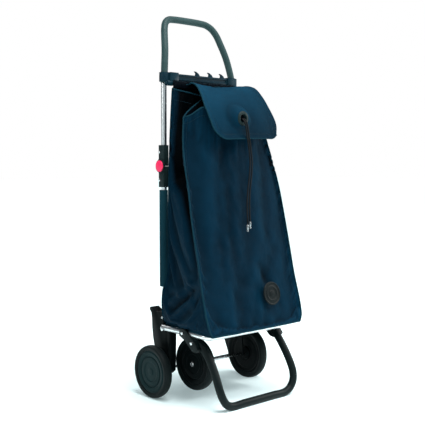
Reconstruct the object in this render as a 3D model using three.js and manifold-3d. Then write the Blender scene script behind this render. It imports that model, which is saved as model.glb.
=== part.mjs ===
// Folding shopping trolley: a two-part folding frame, a fold-up platform with a loop foot and
// inner wheels, outer rear wheels, and a soft bag with flap and draw cord.
// Millimetres, +Z up. The front faces -Y, and the origin is on the floor under the middle.
import * as THREE from 'three';
import { mergeVertices } from 'three/addons/utils/BufferGeometryUtils.js';
import Module from 'manifold-3d';

const manifold = await Module();
manifold.setup();

// ---------- driving dimensions ----------
const GAP = 0.3; // clearance between pieces that touch
const TUBE_R = 8; // aluminium frame tube
const UPRIGHT_X = 135; // uprights, half spacing
const UPRIGHT_Y = 98;
const UPRIGHT_FOOT_Z = 128; // lower end of an upright, inside its bracket
const WALL = 1.4; // tube wall

const FOLD_Z = 658; // height of the frame's fold line
const FOLD_Y = 116; // fold pins sit behind the uprights
const HOUSING_HALF_Z = 60; // each half of the fold housing is this tall
const HOUSING_HALF_X = 10.5;
const HOUSING_FRONT_Y = 88;
const HOUSING_BACK_Y = 112;
const LUG_R = 7;
const PIN_R = 2.5;

const BUTTON_R = 16;
const BUTTON_TRAVEL = 2;
const BUTTON_RING_R = 18.5;

const CROSSBAR_Y = 88;
const CROSSBAR_Z = 911;
const CROSSBAR_HALF_X = 104;
const HANDLE_R = 10; // padded handle tube
const HANDLE_START_Z = 893;
const HANDLE_TOP_Z = 1090;

const BASE_X = 157; // platform side arms, half spacing
const BASE_Z = 198;
const BASE_FRONT_Y = -121;
const BASE_CORNER = 34;
const PIVOT_Y = 70; // platform pivots
const CROSS_TUBE_Y = 10;
const CROSS_TUBE_R = 7;

const FOOT_R = 11; // loop foot tube
const FOOT_BAR_Y = -154.5;
const FOOT_BAR_Z = 10.4; // a little under the tube's radius, so that the bar rests on a flat strip
const FOOT_RIVET_Y = -21;

const WHEEL_R = 75;
const WHEEL_HALF = 13;
const AXLE_R = 4;
const REAR_WHEEL_X = 189;
const REAR_AXLE_Y = 84;
const FRONT_WHEEL_X = 102.5;
const FRONT_AXLE_Z = 99;
const STRUT_X = 80;

const BAG_BACK_Y = 85;
const BAG_FLOOR_Z = 206.5;
const BAG_WALL = 5;
const BAG_BACK_TOP_Z = 878;
const BAG_FRONT_TOP_Z = 822;
const HEM_HALF_X = 104;
const HEM_HEIGHT = 30;
const HEM_THICK = 2.5;
const SLEEVE_R = 10.6; // fabric pocket round each lower upright
const SLEEVE_LOW_Z = 312;
const SLEEVE_TOP_Z = 590;
const FLAP_X = 22; // the flap hangs a little to one side
const FLAP_HALF_X = 114;
const FLAP_BACK_Y = 76;
const FLAP_FRONT_Y = -86;
const FLAP_LOW_Z = 738;
const FLAP_THICK = 4;
const EYELET_Z = 791;
const CORD_R = 2.2;
const WELD = 1e-3;

// ---------- materials ----------
function finish(color, roughness, metalness) {
  return new THREE.MeshStandardMaterial({ color, roughness, metalness });
}
const LOOKS = {
  aluminium: finish(0xc3c7ca, 0.35, 1.0),
  steel: finish(0xb9bcbe, 0.3, 1.0),
  coated: finish(0x3f4d4c, 0.6, 0.0),
  plastic: finish(0x2b3234, 0.55, 0.0),
  button: finish(0xd5314f, 0.4, 0.0),
  rubber: finish(0x20282a, 0.8, 0.0),
  hub: finish(0x2c3a3b, 0.6, 0.0),
  fabric: finish(0x12384d, 0.9, 0.0),
  cord: finish(0x111417, 0.8, 0.0),
};

// ---------- solid modelling helpers ----------
function volumeOf(positions, index) {
  const a = new THREE.Vector3();
  const b = new THREE.Vector3();
  const c = new THREE.Vector3();
  let sum = 0;
  for (let i = 0; i < index.length; i += 3) {
    a.fromBufferAttribute(positions, index[i]);
    b.fromBufferAttribute(positions, index[i + 1]);
    c.fromBufferAttribute(positions, index[i + 2]);
    sum += a.dot(b.cross(c));
  }
  return sum / 6;
}

// Merges shared corners, drops flat triangles and turns the faces outwards.
function weld(source) {
  const bare = new THREE.BufferGeometry();
  bare.setAttribute('position', source.getAttribute('position'));
  bare.setIndex(source.getIndex());
  const merged = mergeVertices(bare, WELD);
  const index = merged.getIndex().array;
  const kept = [];
  for (let i = 0; i < index.length; i += 3) {
    const [a, b, c] = [index[i], index[i + 1], index[i + 2]];
    if (a !== b && b !== c && c !== a) kept.push(a, b, c);
  }
  if (volumeOf(merged.getAttribute('position'), kept) < 0) kept.reverse();
  merged.setIndex(kept);
  return merged;
}

function toSolid(geometry) {
  const welded = weld(geometry);
  const vertProperties = new Float32Array(welded.getAttribute('position').array);
  const triVerts = new Uint32Array(welded.getIndex().array);
  return new manifold.Manifold(new manifold.Mesh({ numProp: 3, vertProperties, triVerts }));
}

function toGeometry(solid) {
  const mesh = solid.getMesh();
  const geometry = new THREE.BufferGeometry();
  geometry.setAttribute('position', new THREE.BufferAttribute(mesh.vertProperties, 3));
  geometry.setIndex(new THREE.BufferAttribute(mesh.triVerts, 1));
  return geometry;
}

function join(first, ...others) {
  let solid = toSolid(first);
  for (const other of others) solid = solid.add(toSolid(other));
  return toGeometry(solid);
}

function cut(first, ...others) {
  let solid = toSolid(first);
  for (const other of others) solid = solid.subtract(toSolid(other));
  return toGeometry(solid);
}

function overlap(first, second) {
  return toGeometry(toSolid(first).intersect(toSolid(second)));
}

// ---------- basic shapes ----------
function rodX(radius, x0, x1, y, z, sides = 16) {
  const rod = new THREE.CylinderGeometry(radius, radius, Math.abs(x1 - x0), sides);
  return rod.rotateZ(Math.PI / 2).translate((x0 + x1) / 2, y, z);
}

function rodY(radius, y0, y1, x, z, sides = 16) {
  const rod = new THREE.CylinderGeometry(radius, radius, Math.abs(y1 - y0), sides);
  return rod.translate(x, (y0 + y1) / 2, z);
}

function rodZ(radius, z0, z1, x, y, sides = 16) {
  const rod = new THREE.CylinderGeometry(radius, radius, Math.abs(z1 - z0), sides);
  return rod.rotateX(Math.PI / 2).translate(x, y, (z0 + z1) / 2);
}

function block(x0, x1, y0, y1, z0, z1) {
  const box = new THREE.BoxGeometry(Math.abs(x1 - x0), Math.abs(y1 - y0), Math.abs(z1 - z0));
  return box.translate((x0 + x1) / 2, (y0 + y1) / 2, (z0 + z1) / 2);
}

// A side outline of [y, z] points, given thickness across X.
function slabX(outline, x0, x1) {
  const shape = new THREE.Shape(outline.map(([y, z]) => new THREE.Vector2(y, z)));
  const low = Math.min(x0, x1);
  const geometry = new THREE.ExtrudeGeometry(shape, { depth: Math.abs(x1 - x0), bevelEnabled: false });
  const turn = new THREE.Matrix4().makeBasis(
    new THREE.Vector3(0, 1, 0),
    new THREE.Vector3(0, 0, 1),
    new THREE.Vector3(1, 0, 0),
  );
  return geometry.applyMatrix4(turn).translate(low, 0, 0);
}

// A block with rounded upright edges.
function roundedPost(x0, x1, y0, y1, z0, z1, radius) {
  const halfX = Math.abs(x1 - x0) / 2;
  const halfY = Math.abs(y1 - y0) / 2;
  const shape = new THREE.Shape();
  shape.absarc(halfX - radius, halfY - radius, radius, 0, Math.PI / 2);
  shape.absarc(radius - halfX, halfY - radius, radius, Math.PI / 2, Math.PI);
  shape.absarc(radius - halfX, radius - halfY, radius, Math.PI, Math.PI * 1.5);
  shape.absarc(halfX - radius, radius - halfY, radius, Math.PI * 1.5, Math.PI * 2);
  const depth = Math.abs(z1 - z0);
  const geometry = new THREE.ExtrudeGeometry(shape, { depth, bevelEnabled: false, curveSegments: 2 });
  return geometry.translate((x0 + x1) / 2, (y0 + y1) / 2, Math.min(z0, z1));
}

// A round bar bent along a path of [x, y, z] points or along a ready curve.
function bentBar(path, radius, steps, sides = 12) {
  const points = Array.isArray(path) ? path.map((p) => new THREE.Vector3(...p)) : null;
  const curve = points ? new THREE.CatmullRomCurve3(points, false, 'centripetal') : path;
  const section = new THREE.Shape().absarc(0, 0, radius, 0, Math.PI * 2);
  const options = { steps, extrudePath: curve, curveSegments: sides / 2, bevelEnabled: false };
  return new THREE.ExtrudeGeometry(section, options);
}

// A turned shape: a profile of [radius, x] points spun about an axis along X.
function turnedX(profile, x, y, z, sides = 32) {
  const points = profile.map(([r, along]) => new THREE.Vector2(r, along));
  return new THREE.LatheGeometry(points, sides).rotateZ(-Math.PI / 2).translate(x, y, z);
}

// A closed skin through rings of equal point count, from the lowest ring to the highest.
function loft(rings) {
  const count = rings[0].length;
  const positions = rings.flat().flatMap((p) => [p.x, p.y, p.z]);
  const index = [];
  for (let r = 0; r < rings.length - 1; r += 1) {
    for (let i = 0; i < count; i += 1) {
      const a = r * count + i;
      const b = r * count + ((i + 1) % count);
      index.push(a, b, b + count, a, b + count, a + count);
    }
  }
  const caps = [[0, true], [rings.length - 1, false]];
  for (const [r, facesDown] of caps) {
    const flat = rings[r].map((p) => new THREE.Vector2(p.x, p.y));
    for (const [a, b, c] of THREE.ShapeUtils.triangulateShape(flat, [])) {
      const face = facesDown ? [a, c, b] : [a, b, c];
      index.push(...face.map((i) => r * count + i));
    }
  }
  const geometry = new THREE.BufferGeometry();
  geometry.setAttribute('position', new THREE.Float32BufferAttribute(positions, 3));
  geometry.setIndex(index);
  return geometry;
}

const trolley = new THREE.Group();

function addPiece(name, geometry, look) {
  const mesh = new THREE.Mesh(weld(geometry), look.clone());
  mesh.name = name;
  trolley.add(mesh);
}

// Calls build once per side; side is -1 on the left (low X) and +1 on the right.
function bothSides(build) {
  build(-1, 'left');
  build(1, 'right');
}

// ---------- uprights and fold housings ----------
function hollowPost(x, y, z0, z1) {
  return cut(rodZ(TUBE_R, z0, z1, x, y), rodZ(TUBE_R - WALL, z0 - 1, z1 + 1, x, y));
}

function buildUprights(side, label) {
  const x = side * UPRIGHT_X;
  const topOfLower = FOLD_Z - 24;
  const footOfUpper = FOLD_Z + 24;
  addPiece(`lower_upright_${label}`, hollowPost(x, UPRIGHT_Y, UPRIGHT_FOOT_Z, topOfLower), LOOKS.aluminium);
  const upperTop = HANDLE_START_Z - GAP;
  addPiece(`upper_upright_${label}`, hollowPost(x, UPRIGHT_Y, footOfUpper, upperTop), LOOKS.aluminium);
}

// One half of the fold housing: direction is -1 for the lower half and +1 for the upper half.
function housingHalf(side, direction) {
  const inner = side * (UPRIGHT_X - HOUSING_HALF_X);
  const outer = side * (UPRIGHT_X + HOUSING_HALF_X);
  const middle = side * UPRIGHT_X;
  const near = FOLD_Z + direction * GAP;
  const far = FOLD_Z + direction * HOUSING_HALF_Z;
  const post = roundedPost(inner, outer, HOUSING_FRONT_Y, HOUSING_BACK_Y, near, far, 4);
  const lugInside = direction < 0;
  const lugStart = lugInside ? inner : middle + side * GAP;
  const lugEnd = lugInside ? middle - side * GAP : outer;
  const lug = rodX(LUG_R, lugStart, lugEnd, FOLD_Y, FOLD_Z, 24);
  const web = slabX(
    [
      [HOUSING_BACK_Y - 3, FOLD_Z + direction * 4],
      [FOLD_Y + LUG_R - 1.5, FOLD_Z + direction * 4],
      [HOUSING_BACK_Y - 3, FOLD_Z + direction * 22],
    ],
    lugStart,
    lugEnd,
  );
  const otherStart = lugInside ? middle - side * GAP : inner - side;
  const otherEnd = lugInside ? outer + side : middle + side * GAP;
  const otherLug = rodX(LUG_R + 0.6, otherStart, otherEnd, FOLD_Y, FOLD_Z, 24);
  const pinHole = rodX(PIN_R + 0.1, inner - side, outer + side, FOLD_Y, FOLD_Z);
  const socket = rodZ(TUBE_R + GAP, FOLD_Z + direction * (24 - GAP), far + direction, side * UPRIGHT_X, UPRIGHT_Y);
  const rivetZ = FOLD_Z + direction * 40;
  const rivetHole = rodX(PIN_R + GAP, outer + side, side * (UPRIGHT_X + TUBE_R), HOUSING_BACK_Y - 6, rivetZ, 16);
  return cut(join(post, lug, web), otherLug, pinHole, socket, rivetHole);
}

function buildFoldHousing(side, label) {
  const outer = side * (UPRIGHT_X + HOUSING_HALF_X);
  const inner = side * (UPRIGHT_X - HOUSING_HALF_X);
  addPiece(`fold_housing_lower_${label}`, housingHalf(side, -1), LOOKS.plastic);

  const ringFace = outer + side * 6;
  const ring = cut(
    rodX(BUTTON_RING_R, outer + side * GAP, ringFace, UPRIGHT_Y, FOLD_Z, 24),
    rodX(BUTTON_R + 0.5, outer + side * 1.6, ringFace + side, UPRIGHT_Y, FOLD_Z, 24),
  );
  const upper = housingHalf(side, 1);
  const neck = block(outer - side * 3, outer + side, UPRIGHT_Y - 6, UPRIGHT_Y + 6, FOLD_Z + 3, FOLD_Z + 14);
  addPiece(`fold_housing_upper_${label}`, join(upper, neck, ring), LOOKS.plastic);

  const buttonBack = outer + side * (2.8 + BUTTON_TRAVEL);
  const button = turnedX(
    [[0, 0], [BUTTON_R, 0], [BUTTON_R, 2.6], [BUTTON_R - 2.4, 4], [0, 4.6]],
    0, 0, 0, 24,
  );
  if (side < 0) button.rotateZ(Math.PI);
  addPiece(`release_button_${label}`, button.translate(buttonBack, UPRIGHT_Y, FOLD_Z), LOOKS.button);
  const springStart = outer + side * 1.9;
  const spring = cut(
    rodX(9, springStart, springStart + side * 0.8, UPRIGHT_Y, FOLD_Z, 16),
    rodX(6, springStart - side, springStart + side * 2, UPRIGHT_Y, FOLD_Z, 16),
  );
  addPiece(`button_spring_${label}`, spring, LOOKS.steel);
  addPiece(`fold_pin_${label}`, rodX(PIN_R, inner - side, outer, FOLD_Y, FOLD_Z, 12), LOOKS.steel);
}

// ---------- handle, crossbar and clamps ----------
const HANDLE_PATH = [
  [-134.5, 98, HANDLE_START_Z - 8],
  [-131.5, 100, 915],
  [-126, 105, 950],
  [-118, 113.5, 990],
  [-108, 128, 1032],
  [-101, 137, 1056],
  [-90, 146, 1075],
  [-73, 152.5, 1086],
  [-52, 155, 1089],
  [0, 155.5, HANDLE_TOP_Z],
];

function mirrored(path) {
  const back = path.slice(0, -1).reverse();
  return [...path, ...back.map(([x, y, z]) => [-x, y, z])];
}

function buildHandle() {
  const below = block(-160, 160, 80, 120, HANDLE_START_Z - 30, HANDLE_START_Z);
  const loop = bentBar(mirrored(HANDLE_PATH), HANDLE_R, 48);
  addPiece('handle_loop', cut(loop, below), LOOKS.coated);
}

function hookFin(x) {
  const fin = new THREE.Shape([
    new THREE.Vector2(-9, -2),
    new THREE.Vector2(11, -2),
    new THREE.Vector2(4, 7),
    new THREE.Vector2(-5, 12),
    new THREE.Vector2(-12, 13),
    new THREE.Vector2(-6, 7),
  ]);
  const geometry = new THREE.ExtrudeGeometry(fin, { depth: 5, bevelEnabled: false });
  return geometry.rotateX(Math.PI / 2).translate(x, CROSSBAR_Y + 2.5, CROSSBAR_Z + 10);
}

function buildCrossbar() {
  const bar = block(-CROSSBAR_HALF_X, CROSSBAR_HALF_X, CROSSBAR_Y - 7, CROSSBAR_Y + 7, CROSSBAR_Z - 9, CROSSBAR_Z + 10);
  const hooks = [-18, 33, 80].map((x) => hookFin(x));
  const wide = CROSSBAR_HALF_X - 12;
  const groove = block(-wide, wide, CROSSBAR_Y - 8, CROSSBAR_Y - 5, CROSSBAR_Z - 4, CROSSBAR_Z + 5);
  addPiece('crossbar', cut(join(bar, ...hooks), groove), LOOKS.plastic);
  const rodZHeight = CROSSBAR_Z - 17.5;
  addPiece('bag_hanger_rod', rodX(4, -141, 141, CROSSBAR_Y - 4, rodZHeight, 16), LOOKS.plastic);
}

function buildClamp(side, label) {
  const legGroove = bentBar(mirrored(HANDLE_PATH), HANDLE_R + GAP + 0.1, 48);
  const top = CROSSBAR_Z + 13;
  const low = CROSSBAR_Z - 13;
  const collar = rodZ(15, low, top, side * 131.5, 99.5, 24);
  const socketEnd = CROSSBAR_HALF_X - 8;
  const socket = block(side * socketEnd, side * 126, CROSSBAR_Y - 10, CROSSBAR_Y + 10, low, top);
  const barHole = block(
    side * (socketEnd - 1), side * (CROSSBAR_HALF_X + GAP),
    CROSSBAR_Y - 7 - GAP, CROSSBAR_Y + 7 + GAP, CROSSBAR_Z - 9 - GAP, CROSSBAR_Z + 10 + GAP,
  );
  const rodEye = rodX(8, side * 116, side * 136, CROSSBAR_Y - 4, CROSSBAR_Z - 17.5, 20);
  const rodHole = rodX(4 + GAP, side * 110, side * 142, CROSSBAR_Y - 4, CROSSBAR_Z - 17.5, 16);
  const upright = rodZ(TUBE_R + GAP, HANDLE_START_Z - 20, HANDLE_START_Z, side * UPRIGHT_X, UPRIGHT_Y);
  const body = cut(join(collar, socket, rodEye), legGroove, barHole, rodHole, upright);
  addPiece(`crossbar_clamp_${label}`, body, LOOKS.plastic);
}

// ---------- rear brackets, rear axle and platform pivots ----------
function buildRearBracket(side, label) {
  const inner = side * 123.5;
  const outer = side * 148.2;
  const outline = [
    [74, 62], [62, 72], [60, 110], [58, 190], [61, 203], [87.3, 204], [87.3, 238],
    [122, 238], [128, 243], [140, 249], [150, 247], [152, 240], [144, 232], [141, 215],
    [140, 190], [136, 160], [126, 122], [104, 74], [94, 62],
  ];
  const body = slabX(outline, inner, outer);
  const hollow = slabX(
    [[108, 228], [126, 228], [133, 190], [128, 156], [118, 130], [108, 130]],
    inner + side * 4, outer - side * 4,
  );
  const hollowMouth = block(inner + side * 4, outer - side * 4, 110, 160, 140, 226);
  const pocket = overlap(hollow, hollowMouth);
  const back = slabX([[112, 226], [150, 226], [150, 232], [112, 232]], inner + side * 4, outer - side * 4);
  const tubeBore = rodZ(TUBE_R + GAP, UPRIGHT_FOOT_Z - GAP, 260, side * UPRIGHT_X, UPRIGHT_Y);
  const axleBore = rodX(AXLE_R + 0.1, side * 110, side * 160, REAR_AXLE_Y, WHEEL_R);
  const pivotBore = rodX(PIN_R + 0.5, side * 110, side * 160, PIVOT_Y, BASE_Z - 3);
  const solid = cut(body, pocket, back, tubeBore, axleBore, pivotBore);
  addPiece(`rear_bracket_${label}`, solid, LOOKS.plastic);
  const pinHead = rodX(5, side * (BASE_X + TUBE_R + GAP), side * (BASE_X + TUBE_R + 3), PIVOT_Y, BASE_Z - 3, 16);
  const pin = rodX(PIN_R + 0.4, side * 121, side * (BASE_X + TUBE_R + 1), PIVOT_Y, BASE_Z - 3);
  addPiece(`platform_pivot_pin_${label}`, join(pin, pinHead), LOOKS.steel);
  const spacer = cut(
    rodX(9, side * (148.2 + GAP), side * (REAR_WHEEL_X - WHEEL_HALF - GAP), REAR_AXLE_Y, WHEEL_R, 20),
    rodX(AXLE_R + 0.2, side * 140, side * 190, REAR_AXLE_Y, WHEEL_R),
  );
  addPiece(`rear_axle_spacer_${label}`, spacer, LOOKS.plastic);
}

// ---------- wheels ----------
// The profiles run across the wheel, with the outer face at +X.
const TYRE_PROFILE = [
  [60.5, -10], [68, -WHEEL_HALF], [WHEEL_R, -8], [WHEEL_R, 8], [68, WHEEL_HALF], [60.5, 10], [60.5, -10],
];

function hubProfile(bore, blind) {
  const face = [
    [0, 8.5], [48, 8.5], [52, 6.5], [56, 6.5], [57.5, 9.5], [60.2, 9.5],
  ];
  const back = [[60.2, -9.5], [55, -9.5], [52, -4], [20, -4], [18, -12], [bore, -12]];
  if (blind) return [...face, ...back, [bore, 4], [0, 4], [0, 8.5]];
  return [[bore, 8.5], ...face.slice(1), ...back, [bore, 8.5]];
}

function buildWheel(name, side, x, y, z, blind) {
  const turn = side < 0 ? Math.PI : 0;
  const tyre = turnedX(TYRE_PROFILE, 0, 0, 0, 36).rotateZ(turn).translate(side * x, y, z);
  addPiece(`${name}_tyre`, tyre, LOOKS.rubber);
  const hub = turnedX(hubProfile(AXLE_R + 0.1, blind), 0, 0, 0, 28).rotateZ(turn).translate(side * x, y, z);
  addPiece(`${name}_hub`, hub, LOOKS.hub);
}

function buildWheels(side, label) {
  buildWheel(`rear_wheel_${label}`, side, REAR_WHEEL_X, REAR_AXLE_Y, WHEEL_R, true);
  buildWheel(`front_wheel_${label}`, side, FRONT_WHEEL_X, 0, FRONT_AXLE_Z, false);
  const nutFrom = side * (FRONT_WHEEL_X + 8.5 + GAP);
  const nut = cut(
    rodX(7, nutFrom, side * (FRONT_WHEEL_X + 13), 0, FRONT_AXLE_Z, 6),
    rodX(AXLE_R + GAP, nutFrom - side, side * (FRONT_WHEEL_X + 14), 0, FRONT_AXLE_Z),
  );
  addPiece(`front_axle_nut_${label}`, nut, LOOKS.steel);
}

// ---------- fold-up platform ----------
function basePath() {
  const path = new THREE.CurvePath();
  const back = PIVOT_Y + 10;
  const turnY = BASE_FRONT_Y + BASE_CORNER;
  const turnX = BASE_X - BASE_CORNER;
  const at = (x, y) => new THREE.Vector3(x, y, BASE_Z);
  path.add(new THREE.LineCurve3(at(-BASE_X, back), at(-BASE_X, turnY)));
  path.add(new THREE.QuadraticBezierCurve3(at(-BASE_X, turnY), at(-BASE_X, BASE_FRONT_Y), at(-turnX, BASE_FRONT_Y)));
  path.add(new THREE.LineCurve3(at(-turnX, BASE_FRONT_Y), at(turnX, BASE_FRONT_Y)));
  path.add(new THREE.QuadraticBezierCurve3(at(turnX, BASE_FRONT_Y), at(BASE_X, BASE_FRONT_Y), at(BASE_X, turnY)));
  path.add(new THREE.LineCurve3(at(BASE_X, turnY), at(BASE_X, back)));
  return path;
}

const FOOT_PATH = [
  [-149, -53, 180],
  [-144, -84, 160],
  [-143, -113, 127],
  [-144.5, -134, 93],
  [-144.5, -148, 62],
  [-138, -154, 38],
  [-124, FOOT_BAR_Y, 19],
  [-103, FOOT_BAR_Y, FOOT_BAR_Z],
  [-60, FOOT_BAR_Y, FOOT_BAR_Z],
  [0, FOOT_BAR_Y, FOOT_BAR_Z],
];

function buildBase() {
  const pivotHole = rodX(PIN_R + 0.5, -BASE_X - 20, BASE_X + 20, PIVOT_Y, BASE_Z - 3);
  const footHole = rodX(PIN_R + GAP, -BASE_X - 20, BASE_X + 20, FOOT_RIVET_Y, BASE_Z);
  const frame = cut(bentBar(basePath(), TUBE_R, 36, 10), pivotHole, footHole);
  addPiece('base_frame', frame, LOOKS.aluminium);
  const inside = BASE_X - TUBE_R - GAP;
  addPiece('base_cross_tube', rodX(CROSS_TUBE_R, -inside, inside, CROSS_TUBE_Y, BASE_Z), LOOKS.aluminium);
  const underFloor = block(-200, 200, -200, 0, -10, 0);
  addPiece('loop_foot', cut(bentBar(mirrored(FOOT_PATH), FOOT_R, 44), underFloor), LOOKS.coated);
  addPiece('front_axle', rodX(AXLE_R, -115, 115, 0, FRONT_AXLE_Z), LOOKS.steel);
  addPiece('rear_axle', rodX(AXLE_R, -190, 190, REAR_AXLE_Y, WHEEL_R), LOOKS.steel);
}

function buildStrut(side, label) {
  const inner = side * (STRUT_X - 2.5);
  const outer = side * (STRUT_X + 2.5);
  const plate = slabX([[1, 195], [-8, 99], [8, 99], [19, 195]], inner, outer);
  const topBoss = rodX(11.5, inner, outer, CROSS_TUBE_Y, BASE_Z - 5, 24);
  const lowBoss = rodX(9, inner, outer, 0, FRONT_AXLE_Z, 24);
  const saddle = rodX(CROSS_TUBE_R + GAP, inner - side, outer + side, CROSS_TUBE_Y, BASE_Z);
  const axleHole = rodX(AXLE_R + GAP, inner - side, outer + side, 0, FRONT_AXLE_Z);
  addPiece(`axle_strut_${label}`, cut(join(plate, topBoss, lowBoss), saddle, axleHole), LOOKS.plastic);
}

function buildFootConnector(side, label) {
  const inner = side * (BASE_X - 21);
  const outer = side * (BASE_X + 11);
  const outline = [
    [-8, 190], [-9, 205], [-16, 210.5], [-30, 210], [-42, 204.5], [-74, 178], [-86, 163], [-77, 152], [-62, 155], [-34, 178],
  ];
  const body = slabX(outline, inner, outer);
  const tubeCut = rodY(TUBE_R + GAP, -110, 20, side * BASE_X, BASE_Z);
  const overBag = block(side * (BASE_X - 30), side * (BASE_X + 4), -100, 0, BAG_FLOOR_Z - GAP * 2, 230);
  const legCut = bentBar(mirrored(FOOT_PATH), FOOT_R + GAP + 0.1, 44);
  const legStart = new THREE.Vector3(...FOOT_PATH[0]);
  const rivetOne = rodX(PIN_R + GAP, inner - side, outer + side, FOOT_RIVET_Y, BASE_Z, 16);
  const rivetTwo = rodX(PIN_R + GAP, side * (BASE_X + 5.2), outer + side, -60, 176, 16);
  const nose = new THREE.SphereGeometry(FOOT_R + GAP + 0.1, 12, 8);
  nose.translate(-side * legStart.x, legStart.y, legStart.z);
  addPiece(
    `foot_connector_${label}`,
    cut(body, tubeCut, overBag, legCut, nose, rivetOne, rivetTwo),
    LOOKS.plastic,
  );
  const headOne = rodX(4.5, outer + side * GAP, outer + side * 2.4, FOOT_RIVET_Y, BASE_Z, 16);
  const shankOne = rodX(PIN_R, inner + side, outer + side, FOOT_RIVET_Y, BASE_Z, 16);
  addPiece(`foot_rivet_upper_${label}`, join(headOne, shankOne), LOOKS.steel);
  const headTwo = rodX(4.5, outer + side * GAP, outer + side * 2.4, -60, 176, 16);
  const shankTwo = rodX(PIN_R, side * (BASE_X + 6), outer + side, -60, 176, 16);
  addPiece(`foot_rivet_lower_${label}`, join(headTwo, shankTwo), LOOKS.steel);
}

// ---------- soft bag ----------
// Each station: height, front corner half width, front corner Y, bulge of the front panel,
// back corner half width, and how far the side gusset folds in.
const BAG_STATIONS = [
  [BAG_FLOOR_Z, 170, -149, 4, 132, 0],
  [225, 172, -147, 6, 132, 0],
  [300, 173, -127, 11, 132, 8],
  [400, 174, -102, 16, 132, 18],
  [500, 174, -79, 22, 132, 28],
  [600, 170, -58, 28, 130, 34],
  [700, 160, -38, 34, 126, 38],
  [780, 146, -24, 40, 120, 38],
  [BAG_FRONT_TOP_Z, 138, -18, 42, 116, 36],
];

function bagRing([z, frontHalf, frontY, bulge, backHalf, fold], inset, topSlope) {
  const back = BAG_BACK_Y - inset;
  const front = frontY + inset;
  const halfFront = frontHalf - inset;
  const halfBack = backHalf - inset;
  const middleY = (back + front) / 2;
  const middleX = (halfFront + halfBack) / 2 - fold;
  const flat = [[halfBack, back], [-halfBack, back], [-middleX, middleY], [-halfFront, front]];
  for (let i = 1; i < 8; i += 1) {
    const across = -1 + i / 4;
    flat.push([halfFront * across, front - bulge * (1 - across * across)]);
  }
  flat.push([halfFront, front], [middleX, middleY]);
  const rise = topSlope / (BAG_BACK_Y - frontY);
  return flat.map(([x, y]) => new THREE.Vector3(x, y, z + Math.max(0, y - frontY) * rise));
}

function buildBag() {
  const slope = BAG_BACK_TOP_Z - BAG_FRONT_TOP_Z;
  const last = BAG_STATIONS.length - 1;
  const slopeAt = (i) => (i === last ? slope : 0);
  const outer = loft(BAG_STATIONS.map((s, i) => bagRing(s, 0, slopeAt(i))));
  const innerStations = BAG_STATIONS.map((s, i) => {
    if (i === 0) return [s[0] + BAG_WALL, ...s.slice(1)];
    return i === last ? [s[0] + 20, ...s.slice(1)] : s;
  });
  const inner = loft(innerStations.map((s, i) => bagRing(s, BAG_WALL, slopeAt(i))));
  addPiece('bag_body', cut(outer, inner), LOOKS.fabric);
  const boardLow = BAG_FLOOR_Z + BAG_WALL + GAP;
  const board = new THREE.Shape([
    new THREE.Vector2(120, 74),
    new THREE.Vector2(-120, 74),
    new THREE.Vector2(-156, -138),
    new THREE.Vector2(156, -138),
  ]);
  const boardGeometry = new THREE.ExtrudeGeometry(board, { depth: 3, bevelEnabled: false });
  addPiece('bag_base_board', boardGeometry.translate(0, 0, boardLow), LOOKS.plastic);
  const hemBack = BAG_BACK_Y - BAG_WALL - GAP;
  const hemTop = BAG_BACK_TOP_Z - 4;
  const hem = block(-HEM_HALF_X, HEM_HALF_X, hemBack - HEM_THICK, hemBack, hemTop - HEM_HEIGHT, hemTop);
  addPiece('bag_hem_stiffener', hem, LOOKS.plastic);
}

function buildSleeve(side, label) {
  const x = side * UPRIGHT_X;
  const outside = join(
    rodZ(SLEEVE_R, SLEEVE_LOW_Z, SLEEVE_TOP_Z, x, UPRIGHT_Y),
    block(x - SLEEVE_R, x + SLEEVE_R, UPRIGHT_Y, UPRIGHT_Y + 5, SLEEVE_LOW_Z, SLEEVE_TOP_Z),
    rodZ(SLEEVE_R, SLEEVE_LOW_Z, SLEEVE_TOP_Z, x, UPRIGHT_Y + 5),
  );
  const sleeve = cut(outside, rodZ(TUBE_R + GAP, SLEEVE_LOW_Z - 1, SLEEVE_TOP_Z + 1, x, UPRIGHT_Y));
  addPiece(`bag_sleeve_${label}`, sleeve, LOOKS.fabric);
}

// Outside line of the flap from its back seam to its front hem, as [y, z] points.
const FLAP_LINE = [
  [FLAP_BACK_Y, 888.5], [42, 889], [8, 883], [-24, 872], [-52, 857], [-74, 839], [FLAP_FRONT_Y, 819],
  [FLAP_FRONT_Y, FLAP_LOW_Z],
];

// The same line moved inwards by the flap's thickness.
function offsetLine(line, distance) {
  return line.map(([y, z], i) => {
    const [y0, z0] = line[Math.max(0, i - 1)];
    const [y1, z1] = line[Math.min(line.length - 1, i + 1)];
    const length = Math.hypot(y1 - y0, z1 - z0);
    return [y - ((z1 - z0) / length) * distance, z + ((y1 - y0) / length) * distance];
  });
}

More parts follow.
